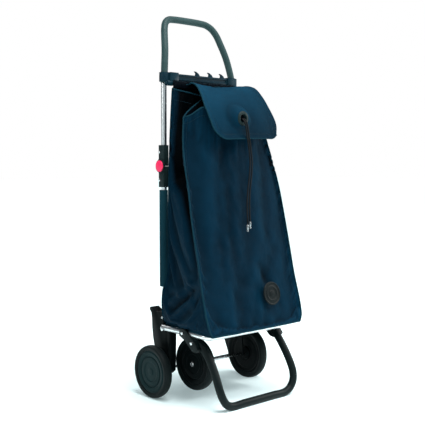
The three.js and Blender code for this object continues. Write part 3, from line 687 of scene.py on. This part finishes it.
# ---------- bag ----------
# Height, front half width, front Y, bulge of the front panel, back half width.
BAG = np.array([
    (206.5, 170, -150, 3, 140), (222, 178, -148, 5, 149), (250, 182, -141, 7, 154),
    (300, 182.5, -127, 10, 152), (345, 181, -115, 12, 137), (400, 180, -103, 15, 132),
    (500, 180, -79, 20, 131), (600, 175, -58, 25, 129), (700, 165, -38, 30, 125),
    (780, 152, -26, 33, 119), (822, 146, -22, 34, 115),
])
# Gusset at each height: where its fold begins, where it is deepest (shares from back to front), depth.
GUSSET = np.array([
    (206.5, 0.60, 0.88, 0), (300, 0.80, 0.90, 3), (350, 0.80, 0.90, 15), (420, 0.77, 0.88, 32),
    (500, 0.70, 0.86, 46), (560, 0.56, 0.83, 55), (600, 0.40, 0.78, 62), (625, 0.22, 0.72, 68),
    (660, 0.06, 0.66, 74), (740, 0.16, 0.68, 74), (822, 0.24, 0.68, 72),
])
BACK_Y = 84.0
RIM_RISE = 57.0  # back corners over the top station
CORNER_DROOP = -30.0  # front corners under it
RIM_STARTS = 560.0  # height from which the rows tilt towards the rim
SPLIT_Z = 450.0  # where the bag is cut in two pieces
COLUMNS_BACK, COLUMNS_SIDE, COLUMNS_FRONT = 30, 34, 56
BAG_THICK = 1.3 * MM
ROWS = 112


def station(z, table=BAG):
    """The sizes at height z, on smooth lines between the rows of a table."""
    z = min(max(z, table[0, 0]), table[-1, 0])
    i = min(int(np.searchsorted(table[:, 0], z, side="right")) - 1, len(table) - 2)
    slope = np.gradient(table[:, 1:], table[:, 0], axis=0)
    h = table[i + 1, 0] - table[i, 0]
    t = (z - table[i, 0]) / h
    return (table[i, 1:] * (1 + 2 * t) * (1 - t) ** 2 + slope[i] * h * t * (1 - t) ** 2
            + table[i + 1, 1:] * t * t * (3 - 2 * t) + slope[i + 1] * h * t * t * (t - 1))


def ridge(distance, width):
    return math.exp(-(distance / width) ** 2)


def to_line(p, a, b):
    """Distance of a point from the stretch a to b, in 2D, and the share of the way along it."""
    p, a, b = np.array(p, float), np.array(a, float), np.array(b, float)
    d = b - a
    t = clamp(float((p - a) @ d / (d @ d)))
    return float(np.linalg.norm(p - a - d * t)), t


def wrinkle(x, y, z, scale):
    return noise.fractal(Vector((x / scale, y / scale, z / scale)), 1.0, 2.0, 3)


GUSSET_WIDTH = 190.0
# Creases of the side gusset: (share from back to front, height) of each end, width and depth in mm.
SIDE_CREASES = (
    ((0.76, 330), (0.03, 232), 9, 15), ((0.78, 330), (0.98, 240), 9, 14), ((0.04, 505), (0.76, 330), 14, -9),
    ((0.12, 462), (0.80, 316), 9, 7), ((0.02, 292), (0.34, 300), 9, 8), ((0.30, 212), (0.62, 268), 12, 6),
)


# Creases of the front panel: (x, height) of each end, width and rise in mm.
FRONT_CREASES = (
    ((-60, 610), (-88, 230), 16, 6.08), ((40, 380), (120, 235), 14, -4.8), ((120, 420), (60, 350), 16, -3.52),
)


def front_seam(z, side):
    """The front seam: it leans a little to the left towards the top."""
    front_x, front_y = station(z)[:2]
    lean = ease((z - 560) / 230)
    return (front_x + 15 * lean if side < 0 else front_x - 6 * lean), front_y


def gusset_depth(s, z, side):
    """How far the gusset is drawn in, in mm, at share s from its back corner to its front seam."""
    begins, deepest, fold = station(z, GUSSET)
    if s < deepest:
        t = clamp((s - begins) / (deepest - begins))
        drop = 0.45 * ease(t) + 0.55 * t
    else:
        drop = (1 - s) / (1 - deepest)
    depth = fold * drop
    soft = min(1.0, (z - 206) / 40) * math.sin(math.pi * s)
    if s < begins:
        depth -= 5 * math.sin(math.pi * min(1.0, s / max(begins, 0.2))) * min(1.0, fold / 40)
    depth -= 7 * math.sin(math.pi * s) * ridge(z - 262, 46)
    for (s0, z0), (s1, z1), width, deep in SIDE_CREASES:
        d, t = to_line((s * GUSSET_WIDTH, z), (s0 * GUSSET_WIDTH, z0), (s1 * GUSSET_WIDTH, z1))
        fade = 0.35 + 0.65 * math.sin(math.pi * min(max(t, 0.12), 0.88))
        depth += deep * fade * (ridge(d, width) - 0.55 * ridge(d - 2.1 * width, width * 1.3)) * soft
    return depth + soft * 3.2 * wrinkle(side * (40 + GUSSET_WIDTH * s), 9, z * 0.7, 46)


def side_point(s, z, side):
    """A point on a side gusset, s from 0 at the back corner to 1 at the front seam."""
    a, b = np.array([station(z)[3], BACK_Y]), np.array(front_seam(z, side))
    inward = np.array([-(b - a)[1], (b - a)[0]])
    inward = inward / np.linalg.norm(inward)
    if inward[0] > 0:
        inward = -inward
    x, y = a + (b - a) * s + inward * gusset_depth(s, z, side)
    pocket = ease((z - 585) / 75)
    if pocket:
        lip = clamp((z - 655) / 110)
        soft = min(1.0, (z - 206) / 40) * math.sin(math.pi * s)
        path = np.array([a, a + (3, -4 - 24 * lip), a + (-76, -34 - 14 * lip), a + (-66, -52 - 14 * lip), b])
        share = (0.0, 0.14, 0.42, 0.5, 1.0)
        deep = np.array([np.interp(s, share, path[:, 0]), np.interp(s, share, path[:, 1])])
        deep += inward * soft * 2.5 * wrinkle(side * (240 + GUSSET_WIDTH * s), 60, z * 0.6, 40)
        x, y = np.array([x, y]) * (1 - pocket) + deep * pocket
    return np.array([side * x, y, z])


def front_point(u, z):
    """A point on the front panel, u from -1 at the left seam to 1 at the right."""
    front_y, bulge = station(z)[1:3]
    left, right = front_seam(z, -1)[0], front_seam(z, 1)[0]
    x = (right - left) / 2 + u * (right + left) / 2
    inside = 1 - u ** 4
    soft = min(1.0, (z - 206) / 60)
    drift = 14 * math.sin(z / 160)
    folds = (math.sin((x + drift) / 21.0 + 0.8) + 0.7 * math.sin((x - 0.12 * z) / 13.5 + 2.0)
             + 0.5 * math.sin((x + 0.08 * z) / 33.0 + 4.0))
    gathers = math.sin(x / 5.2 + 0.4 * math.sin(z / 30)) * max(0.0, (z - 770) / 52) * 1.3
    creases = sum(deep * (soft if deep < 0 else 1.0) * ridge(to_line((x, z), a, b)[0], width)
                  for a, b, width, deep in FRONT_CREASES)
    hem_pulls = 1.6 * math.sin(x / 8.5 + 1.2 * math.sin(x / 31)) * ridge(z - 226, 20)
    out = bulge * (1 - u * u) + inside * (
        folds * 4.2 * clamp((z - 250) / 330) + gathers + creases + hem_pulls
        + soft * 5.0 * wrinkle(x + 300, 3, z * 0.5, 58) + soft * 1.3 * wrinkle(x + 90, 8, z * 0.8, 19))
    return np.array([x, front_y - out, z])


def back_point(u, z):
    back_x = station(z)[3]
    soft = min(1.0, (z - 206) / 50)
    y = BACK_Y - abs(1 - u ** 2) * (1.5 + 1.5 * wrinkle(u * 120, 40, z, 55)) * soft
    return np.array([u * back_x, y, z])


def bag_ring(z):
    back = [back_point(1 - 2 * i / COLUMNS_BACK, z) for i in range(COLUMNS_BACK)]
    left = [side_point(i / COLUMNS_SIDE, z, -1) for i in range(COLUMNS_SIDE)]
    front = [front_point(-1 + 2 * i / COLUMNS_FRONT, z) for i in range(COLUMNS_FRONT)]
    right = [side_point(1 - i / COLUMNS_SIDE, z, 1) for i in range(COLUMNS_SIDE)]
    return np.array(back + left + front + right)


CORNERS = {
    "back_right": 0, "back_left": COLUMNS_BACK, "front_left": COLUMNS_BACK + COLUMNS_SIDE,
    "front_right": COLUMNS_BACK + COLUMNS_SIDE + COLUMNS_FRONT,
}


def bag_grid():
    """Rows of points from the floor to the rim, in metres. The rim rises towards the back."""
    low, high = BAG[0, 0], BAG[-1, 0]
    rim = rim_rise()
    rows = []
    for r in range(ROWS):
        z = low + (high - low) * r / (ROWS - 1)
        ring = bag_ring(z)
        ring[:, 2] += rim * clamp((z - RIM_STARTS) / (high - RIM_STARTS)) ** 1.6
        turned = np.clip((ring[:, 2] - 872) / 18, 0, 1) * (np.arange(len(ring)) < COLUMNS_BACK)
        ring[:, 1] -= 9.5 * turned
        rows.append(ring)
    grid = np.array(rows) * MM
    for first in (CORNERS["back_left"], CORNERS["front_right"]):
        side = np.arange(first + 1, first + COLUMNS_SIDE)
        for _ in range(3):
            grid[:, side] = (grid[:, side - 1] + 2 * grid[:, side] + np.take(grid, side + 1, 1, mode="wrap")) / 4
    return grid


def rim_rise():
    """How far the rim is above the top station at each column, from the back right corner round."""
    back = [RIM_RISE + 13 * (1 - abs(1 - 2 * i / COLUMNS_BACK) ** 8) for i in range(COLUMNS_BACK)]
    side = []
    dip, dip_rise = 0.46, 34
    for i in range(COLUMNS_SIDE):
        t = i / COLUMNS_SIDE
        side.append(RIM_RISE - (RIM_RISE - dip_rise) * t / dip if t < dip
                    else CORNER_DROOP + (dip_rise - CORNER_DROOP) * ((1 - t) / (1 - dip)) ** 0.8)
    front = []
    for i in range(COLUMNS_FRONT):
        x = 150 * (1 - abs(-1 + 2 * i / COLUMNS_FRONT))  # distance from the nearer corner
        front.append(-6 + (CORNER_DROOP + 6) * ridge(x, 36) + 6 * ridge(x - 48, 18))
    return np.array(back + side + front + [CORNER_DROOP] + side[:0:-1])


FURTHEST_SAG = 9 * MM
CLOTH_FRAMES = 22


def relax(grid):
    """Lets the sewn shell sag as cloth between its seams, with each point kept close to where it was."""
    rows, columns = grid.shape[:2]
    mesh = bpy.data.meshes.new("relaxing")
    mesh.from_pydata(grid.reshape(-1, 3).tolist(), [], grid_faces(rows, columns, wrap=True))
    shell = bpy.data.objects.new("relaxing", mesh)
    bpy.context.scene.collection.objects.link(shell)
    held = shell.vertex_groups.new(name="held")
    for r in range(rows):
        for c in range(columns):
            near = min(min(abs(c - k), columns - abs(c - k)) for k in CORNERS.values())
            firm = 1.0 if near == 0 or r < 2 or r > rows - 3 else 0.0
            if c < COLUMNS_BACK:
                firm = max(firm, 0.7)
            if firm:
                held.add([r * columns + c], firm, "REPLACE")
    cloth = shell.modifiers.new("cloth", "CLOTH")
    s = cloth.settings
    s.quality = 5
    s.mass = 0.25
    s.tension_stiffness = s.compression_stiffness = 12
    s.shear_stiffness = 5
    s.bending_stiffness = 0.35
    s.tension_damping = s.compression_damping = 12
    s.air_damping = 3
    s.vertex_group_mass = "held"
    s.pin_stiffness = 1
    s.shrink_min = -0.035
    scene = bpy.context.scene
    for f in range(1, CLOTH_FRAMES + 1):
        scene.frame_set(f)
    shape = shell.evaluated_get(bpy.context.evaluated_depsgraph_get()).to_mesh()
    after = np.array([v.co for v in shape.vertices], float).reshape(grid.shape)
    scene.frame_set(1)
    bpy.data.objects.remove(shell)
    moved = after - grid
    far = np.linalg.norm(moved, axis=2, keepdims=True)
    return grid + moved * np.minimum(1.0, FURTHEST_SAG / np.maximum(far, 1e-9))


def hollow_painted_shade(grid, normal, closed=True):
    """How far each point lies below the smoothed cloth around it, as a painted shade from -0.5 to 0.6: darker
    where the cloth dips, lighter on ridges.
    """
    smooth = grid.copy()
    for _ in range(16):
        if closed:
            smooth = (np.roll(smooth, 1, 1) + np.roll(smooth, -1, 1) + 2 * smooth) / 4
        else:
            smooth[:, 1:-1] = (smooth[:, :-2] + smooth[:, 2:] + 2 * smooth[:, 1:-1]) / 4
        smooth[1:-1] = (smooth[:-2] + smooth[2:] + 2 * smooth[1:-1]) / 4
    return np.clip(0.1 * ((smooth - grid) * normal).sum(2) / MM, -0.5, 0.6)


def crease_painted_shade(grid, normal):
    """Painted shade by how deep a point lies in a fold: 0 on open cloth, 1 at a gusset's bottom, below 0 on a
    ridge.
    """
    fold = hollow_painted_shade(grid, normal)
    for back, front in (("back_left", "front_left"), ("back_right", "front_right")):
        a, b = grid[:, CORNERS[back], :2], grid[:, CORNERS[front], :2]
        d = b - a
        inward = np.stack([-d[:, 1], d[:, 0]], 1) / np.linalg.norm(d, axis=1)[:, None]
        inward *= -np.sign((inward * a).sum(1))[:, None]
        first = CORNERS[back] or CORNERS[front]
        for c in range(first + 1, first + COLUMNS_SIDE):
            depth = ((grid[:, c, :2] - a) * inward).sum(1) / MM
            fold[:, c] = np.maximum(fold[:, c], np.clip((depth - 5) / 13, 0, 1))
    return fold


def set_painted_shade(piece, shade):
    """Stores the painted shade of the outer skin's points, which come first, for the cloth material."""
    values = np.zeros(len(piece.data.vertices))
    values[:shade.size] = shade.ravel()
    piece.data.attributes.new("fold", "FLOAT", "POINT").data.foreach_set("value", values)


def normals_of(grid):
    along = np.roll(grid, -1, axis=1) - np.roll(grid, 1, axis=1)
    up = np.gradient(grid, axis=0)
    n = np.cross(along, up)
    return n / np.maximum(np.linalg.norm(n, axis=2, keepdims=True), 1e-12)


def stitches(build, line, normal, slot, pitch=4.6 * MM, long=3.2 * MM, radius=0.35 * MM):
    """A row of short raised stitches along a line on the cloth."""
    along = distance_along(line)
    count = int(along[-1] / pitch)

    def at(table, d):
        return np.array([np.interp(d, along, table[:, k]) for k in range(3)])

    for k in range(count):
        a, b = at(line, k * pitch), at(line, k * pitch + long)
        n = at(normal, k * pitch)
        m = (a + b) / 2 + n * radius
        tube(build, [a - n * radius * 0.4, m - (b - a) * 0.25, m + (b - a) * 0.25, b - n * radius * 0.4],
             radius, 5, slot)


def make_bag():
    """The bag's shell, cut at SPLIT_Z into a lower piece and an upper one."""
    grid = bag_grid()
    grid = relax(grid)
    normal = normals_of(grid)
    row, column = ROWS // 2, COLUMNS_BACK // 3
    if (grid[row, column] - grid.reshape(-1, 3).mean(0)) @ normal[row, column] < 0:
        normal = -normal
    inner = grid - normal * BAG_THICK
    # Painted shade for the cloth's dips and the gussets' folds, kept in the fold attribute.
    fold = crease_painted_shade(grid, normal)
    columns = grid.shape[1]
    split = int(np.argmin(np.abs(grid[:, COLUMNS_BACK * 2 // 3, 2] - SPLIT_Z * MM)))
    for name, first, last in (("bag_lower", 0, split), ("bag_upper", split, ROWS - 1)):
        part = slice(first, last + 1)
        build = Build()
        faces = grid_faces(last - first + 1, columns, wrap=True)
        build.add(grid[part].reshape(-1, 3), faces)
        inside = build.add(inner[part].reshape(-1, 3), flipped(faces), 1)
        if name == "bag_upper":
            top = inside - columns
            rim = [(top + c, top + (c + 1) % columns, inside + top + (c + 1) % columns, inside + top + c)
                   for c in range(columns)]
            build.faces.extend(rim)
            build.slots.extend([0] * len(rim))
            hem(build, grid, normal)
        else:
            bag_floor(build, grid[0])
        seams(build, grid, normal, first, last)
        piece = build.piece(name, [BAG_CLOTH, BAG_LINING, BAG_PIPING, BAG_THREAD], 180)
        outward = normal[part].reshape(-1, 3)
        keep_normals(piece, np.concatenate([outward, -outward]))
        set_painted_shade(piece, fold[part])
        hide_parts("bag_body")
        if name == "bag_upper":
            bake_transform(piece)
        else:
            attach(piece, "lower_frame")
            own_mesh(piece)


def keep_normals(piece, normals):
    """Shades the two halves of the bag's skins as one surface, so that nothing shows where they meet."""
    wanted = np.array([v.normal for v in piece.data.vertices], float)
    wanted[:len(normals)] = normals
    piece.data.normals_split_custom_set_from_vertices(wanted.tolist())


def bag_floor(build, ring):
    """The bag's underside, drawn in towards its middle."""
    centre = ring.mean(0)
    rings = [centre + (ring - centre) * share for share in (1.0, 0.9, 0.6, 0.25)]
    faces = flipped(grid_faces(len(rings), len(ring), wrap=True))
    faces.append(tuple(reversed(range((len(rings) - 1) * len(ring), len(rings) * len(ring)))))
    build.add(np.concatenate(rings), faces)


def closed_loop(points):
    return np.vstack([points, points[:1]])


def hem(build, grid, normal):
    """The turned-over hem round the rim, with its row of stitches."""
    tube(build, closed_loop(grid[-1] + normal[-1] * 0.2 * MM), 2.0 * MM, 10, 2, closed=False)
    stitches(build, closed_loop(grid[-5] + normal[-5] * 0.3 * MM), closed_loop(normal[-5]), 3)


def seams(build, grid, normal, first, last):
    """Piping up the two front seams, a flat seam at the back corners, and stitches beside them."""
    for name, column in CORNERS.items():
        line = grid[first:last + 1, column] + normal[first:last + 1, column] * 0.9 * MM
        front = name.startswith("front")
        tube(build, line, (2.1 if front else 1.3) * MM, 10, 2)
        for offset in ((-2, 2) if front else (2,)):
            c = (column + offset) % grid.shape[1]
            n = normal[first:last + 1, c]
            stitches(build, grid[first:last + 1, c] + n * 0.2 * MM, n, 3)
    if first == 0:
        tube(build, closed_loop(grid[0] + normal[0] * 0.5 * MM), 2.0 * MM, 10, 2, closed=False)


def make_back_band_painted_shade():
    """A band behind the flap, by which the bag hangs at its back rim. Its near-black lining colour is painted
    shade.
    """
    rows, columns = 10, 90
    u = np.linspace(-1, 1, columns)[None]
    t = np.linspace(0, 1, rows)[:, None]
    wave = 0.8 * np.sin(19 * u) * np.sin(math.pi * t) + 0.5 * np.sin(43 * u + 1)
    y = 73.2 + wave - 1.2 * np.sin(math.pi * t)
    z = 880 + (21.5 + 0.7 * np.sin(31 * u)) * t
    front = np.stack([120 * u + 0 * t, y, z], axis=2) * MM
    build = Build()
    add_sheet(build, front, front + (0, 1.8 * MM, 0), grid_faces(rows, columns))
    stitches(build, front[-2], np.tile([0, -1.0, 0], (columns, 1)), 1)
    piece = build.piece("bag_back_band", [BAG_LINING, BAG_THREAD], 60)
    stands_for(piece, "bag_top", "bag_fabric")


def sleeve_skin(low, high, c, side, shrink):
    """Points of a crumpled sleeve, in rows from its lower end to its upper one."""
    rows, columns = 70, 40
    points = np.empty((rows, columns, 3))
    for r in range(rows):
        t = r / (rows - 1)
        z = low.z + (high.z - low.z) * t
        for k in range(columns):
            a = 2 * math.pi * k / columns
            crumple = 0.5 * wrinkle(side * 70 + 12 * math.cos(a), 12 * math.sin(a), z / MM, 22)
            grow = 1 - shrink + 0.02 * crumple * (4 * t * (1 - t)) - 0.03 * ridge(t - 0.02, 0.01)
            flat = math.copysign(abs(math.sin(a)) ** 0.8, math.sin(a))
            points[r, k] = (c.x + (high.x - low.x) / 2 * grow * math.cos(a),
                            c.y + (high.y - low.y) / 2 * grow * flat, z)
    return points


def make_sleeves():
    """Cloth sleeves that hold the bag's back corners to the lower uprights."""
    for side, label in SIDES:
        low, high, c = box_of(f"bag_sleeve_{label}")
        outer, inner = (sleeve_skin(low, high, c, side, shrink) for shrink in (0.0, 0.05))
        build = Build()
        add_sheet(build, outer, inner, grid_faces(*outer.shape[:2], wrap=True))
        front = low.y - 0.2 * MM
        line = straight((c.x, front, low.z + 4 * MM), (c.x, front, high.z - 4 * MM), 30)
        stitches(build, line, np.tile([0, -1.0, 0], (len(line), 1)), 1)
        piece = build.piece(f"sleeve_{label}", [SLEEVE_CLOTH, BAG_THREAD], 60)
        stands_for(piece, "lower_frame", "bag_fabric", f"bag_sleeve_{label}")


# ---------- flap ----------
# Edges of the flap from its back seam to its front hem: (x, y, z) in mm.
FLAP_LEFT = [(-66, 74, 891), (-72, 50, 895), (-80, 20, 885), (-97, -20, 856), (-109, -46, 828),
             (-110, -63, 800), (-103, -76, 764), (-98, -86, 731)]
FLAP_RIGHT = [(110, 74, 889), (124, 50, 897), (130, 26, 898), (136, 4, 890), (141, -18, 868),
              (144, -44, 832), (147, -70, 786), (149, -83, 738)]
FLAP_COLUMNS, FLAP_ROWS = 56, 64
FLAP_THICK = 2.4 * MM
FLAP_CORNER = 38.0
FLAP_LENGTH = 235.0
EYELET_CUT = 13.5 * MM


def round_corner(u, v, a, b):
    """How far a point near a front corner moves, so that the square corner becomes a round one."""
    width = float(np.linalg.norm(b - a)) / MM
    x, y = u * width, (1 - v) * FLAP_LENGTH
    move = np.zeros(3)
    for edge_x, sign in ((0.0, 1.0), (width, -1.0)):
        centre_x = edge_x + sign * FLAP_CORNER
        if sign * (x - centre_x) < 0 and y < FLAP_CORNER:
            dx, dy = (x - centre_x) / FLAP_CORNER, (y - FLAP_CORNER) / FLAP_CORNER
            r = math.hypot(dx, dy)
            if r > 1e-6:
                pull = (max(abs(dx), abs(dy)) / r - 1) * FLAP_CORNER
                move = move + (b - a) / width * dx * pull + np.array([0, 0, MM]) * dy * pull
    return move


def flap_point(u, v, left, right):
    """u runs from left to right and v from the back seam to the front hem, both 0 to 1."""
    i = v * (len(left) - 1)
    k = min(int(i), len(left) - 2)
    t = i - k
    a = left[k] * (1 - t) + left[k + 1] * t
    b = right[k] * (1 - t) + right[k + 1] * t
    crown = math.sin(math.pi * u)
    over = clamp((v - 0.30) / 0.3)
    out = 2.4 * wrinkle(400 + u * 190, 8, v * 210, 70) * (0.35 + 0.65 * v)
    out += 2.8 * math.sin(u * 9 + 1.8 * math.sin(3 * v)) * (0.25 + 0.75 * v)
    out += 1.2 * math.sin(u * 23 + 5 * v) * math.sin(math.pi * v)
    lift = np.array([0, -9 * over, 2.25 * over - 7 * (1 - over)]) * crown
    lift = lift + np.array([0, -over, 1 - over]) * out
    return a * (1 - u) + b * u + lift * MM + round_corner(u, v, a, b)


def flap_painted_shade(grid, normal):
    """Painted light and shade on the flap: darker towards its hem and its right side, and where its cloth dips.
    """
    rows, columns = grid.shape[:2]
    down = np.linspace(-0.3, 0.35, rows)[:, None] + np.linspace(-0.1, 0.15, columns)[None]
    return 0.5 * hollow_painted_shade(grid, normal, False) + down


def make_flap():
    left, right = (catmull_rom(np.array(edge) * MM, 80) for edge in (FLAP_LEFT, FLAP_RIGHT))
    across, along = np.linspace(0, 1, FLAP_COLUMNS + 1), np.linspace(0, 1, FLAP_ROWS + 1)
    grid = np.array([[flap_point(u, v, left, right) for u in across] for v in along])
    settle_round_eyelet(grid)
    normal = np.cross(np.gradient(grid, axis=0), np.gradient(grid, axis=1))
    normal /= np.linalg.norm(normal, axis=2, keepdims=True)
    if normal[5, FLAP_COLUMNS // 2, 2] < 0:
        normal = -normal
    points = grid.reshape(-1, 3)
    hole = box_of("flap_eyelet")[2]
    faces = []
    for a, b, c, d in grid_faces(FLAP_ROWS + 1, FLAP_COLUMNS + 1):
        mid = points[[a, b, c, d]].mean(0)
        if math.hypot(mid[0] - hole.x, mid[2] - hole.z) >= EYELET_CUT or mid[1] >= -0.05:
            faces.append((a, d, c, b))
    puff = edge_puff()[..., None] * normal
    outer = grid + puff
    inner = grid - normal * FLAP_THICK - puff * 0.3
    build = Build()
    add_sheet(build, outer, inner, faces, 1)
    tube(build, np.array([(grid[r, c] + inner[r, c]) / 2 for r, c in flap_border()]), 2.1 * MM, 10, 2)
    sewn = tuple(np.array(flap_border(3)).T)
    stitches(build, outer[sewn] + 0.15 * MM * normal[sewn], normal[sewn], 3)
    piece = build.piece("flap_cloth", [FLAP_CLOTH_PAINTED_LIT, BAG_LINING, BAG_PIPING, BAG_THREAD], 70)
    set_painted_shade(piece, flap_painted_shade(grid, normal))
    stands_for(piece, "flap", "bag_fabric", "bag_flap")
    make_eyelet()


def edge_puff():
    """The hem is a little raised, with a shallow channel where it is sewn."""
    r = np.arange(FLAP_ROWS + 1)[:, None]
    c = np.arange(FLAP_COLUMNS + 1)[None, :]
    near = np.minimum(np.minimum(c, FLAP_COLUMNS - c), FLAP_ROWS - r).astype(float)
    return (0.7 * np.exp(-(near / 1.6) ** 2) - 0.7 * np.exp(-((near - 3) / 0.9) ** 2)) * MM


def flap_border(inset=0):
    """Grid places down the left side, along the front hem and back up the right side."""
    low, high, last = inset, FLAP_COLUMNS - inset, FLAP_ROWS - inset
    return ([(r, low) for r in range(0, last)] + [(last, c) for c in range(low, high)]
            + [(r, high) for r in range(last, -1, -1)])


def settle_round_eyelet(grid):
    """Flattens the cloth under the eyelet, so that the ring sits on it."""
    low, high, c = box_of("flap_eyelet")
    ring = (high.x - low.x) / 2
    for p in grid.reshape(-1, 3):
        if p[1] > -0.04:
            continue
        near = ease(1 - (math.hypot(p[0] - c.x, p[2] - c.z) - ring) / (22 * MM))
        p[1] = p[1] * (1 - near) + (low.y + 3.2 * MM) * near


def make_eyelet():
    low, high, c = box_of("flap_eyelet")
    outer, hole = (high.x - low.x) / 2 / MM, 11.5
    front = (high.y - low.y) / MM
    profile = [
        (hole, 1), (hole, front - 1.6), (hole + 1.5, front - 0.1), (outer - 4, front - 0.3),
        (outer - 0.6, front - 2.2), (outer, front - 3.6), (outer - 6, front - 3.8), (outer - 6, 2),
        (outer - 0.5, 1.6), (outer - 1, 0.4), (hole + 1, 0.2)]
    build = Build()
    lathe(build, smooth_profile(np.array(profile) * MM, 0.8 * MM), (c.x, high.y, c.z), (0, -1, 0), 72)
    return stands_for(build.piece("eyelet", [HOUSING], 50), "flap", "black_plastic", "flap_eyelet")


def make_badge():
    """A plain round badge with raised rings."""
    low, high, c = box_of("bag_badge")
    r = (high.x - low.x) / 2 / MM
    lean = math.radians(12)
    axis = Vector((0, -math.cos(lean), math.sin(lean)))
    profile = [(0, 0), (r - 0.6, 0), (r, 0.8), (r, 2.2), (r - 1.2, 3.4), (r - 3.2, 3.4), (r - 4.4, 2.2),
               (22, 2.2), (21, 3), (18.5, 3), (17.5, 2), (9, 2), (8, 3), (0, 3.3)]
    build = Build()
    lathe(build, smooth_profile(np.array(profile) * MM, 0.5 * MM), c - axis * 1.6 * MM, axis, 80)
    piece = build.piece("badge", [BADGE], 50)
    stands_for(piece, "lower_frame", "black_plastic", "bag_badge")
    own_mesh(piece)


# ---------- carried-over CAD pieces ----------
def dress_cad():
    """Gives each CAD node that stays its material, a soft edge and smooth round faces."""
    looks = (
        ("fold_housing", HOUSING), ("crossbar", BLUE_BLACK), ("bag_hanger_rod", BLUE_BLACK),
        ("rear_bracket", BLACK), ("foot_connector", FOOT_COAT), ("axle_strut", BLACK),
        ("rear_axle_spacer", BLACK), ("bag_base_board", BLACK), ("bag_hem_stiffener", BLACK),
        ("front_axle", STEEL), ("rear_axle", STEEL), ("fold_pin", STEEL), ("button_spring", STEEL),
        ("platform_pivot_pin", STEEL), ("foot_rivet", STEEL),
    )
    for name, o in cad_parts.items():
        if o.hide_render:
            continue
        found = [m for prefix, m in looks if name.startswith(prefix)]
        o.data.materials.clear()
        o.data.materials.append(found[0])
        o.data.polygons.foreach_set("use_smooth", [True] * len(o.data.polygons))
        weld = o.modifiers.new("weld", "WELD")
        weld.merge_threshold = 1e-5
        bevel = o.modifiers.new("edges", "BEVEL")
        bevel.width = 0.6 * MM
        bevel.segments = 2
        bevel.angle_limit = math.radians(32)
        bevel.harden_normals = True


# ---------- floor and lights ----------
WORLD_STRENGTH = 0.24


def make_floor():
    m = Nodes("studio_floor")
    m.set(Base_Color=(0.80, 0.94, 0.95, 1), Roughness=0.8, Specular_IOR_Level=0.1,
          Emission_Color=(0.75, 0.98, 1, 1), Emission_Strength=0.14)
    bpy.ops.mesh.primitive_plane_add(size=60)
    floor = bpy.context.object
    floor.name = "floor"
    floor.data.materials.append(m.material)


def make_light(name, kind, at, power, size):
    """An area light with its size in metres, or a sun with its angle in degrees."""
    data = bpy.data.lights.new(name, kind)
    if kind == "SUN":
        data.angle = math.radians(size)
    else:
        data.size = size
    data.energy = power
    light = bpy.data.objects.new(name, data)
    light.location = at
    light.rotation_euler = (Vector((0, 0, 0.5)) - Vector(at)).to_track_quat("-Z", "Y").to_euler()
    bpy.context.scene.collection.objects.link(light)


def make_lights():
    make_light("sky", "SUN", (0.5, -0.9, 2.6), 3.35, 60)
    make_light("left_back", "AREA", (-2.3, 0.4, 1.5), 12, 0.7)
    make_light("front_left", "AREA", (-1.7, -2.3, 2.3), 11, 0.5)
    make_light("right", "AREA", (2.3, -1.0, 1.3), 30, 0.7)
    make_light("above", "AREA", (-0.3, -0.7, 2.7), 26, 0.7)
    make_light("back", "AREA", (0.6, 2.4, 1.9), 14, 1.2)


def make_world():
    """A dim studio all round, which the camera itself sees as plain white."""
    world = bpy.data.worlds.new("studio")
    world.use_nodes = True
    tree = world.node_tree
    studio = tree.nodes["Background"]
    studio.inputs["Color"].default_value = (0.9, 0.97, 1, 1)
    studio.inputs["Strength"].default_value = WORLD_STRENGTH
    seen = tree.nodes.new("ShaderNodeBackground")
    seen.inputs["Color"].default_value = (1, 1, 1, 1)
    mix = tree.nodes.new("ShaderNodeMixShader")
    path = tree.nodes.new("ShaderNodeLightPath")
    tree.links.new(path.outputs["Is Camera Ray"], mix.inputs[0])
    tree.links.new(studio.outputs[0], mix.inputs[1])
    tree.links.new(seen.outputs[0], mix.inputs[2])
    tree.links.new(mix.outputs[0], tree.nodes["World Output"].inputs[0])
    bpy.context.scene.world = world
    bpy.context.scene.view_settings.view_transform = "Standard"


make_cords()
make_uprights()
make_handle()
make_foot()
make_base()
make_cross_tube()
make_wheels()
make_side_details()
make_bag()
make_sleeves()
make_back_band_painted_shade()
make_flap()
make_badge()
dress_cad()
make_floor()
make_lights()
make_world()
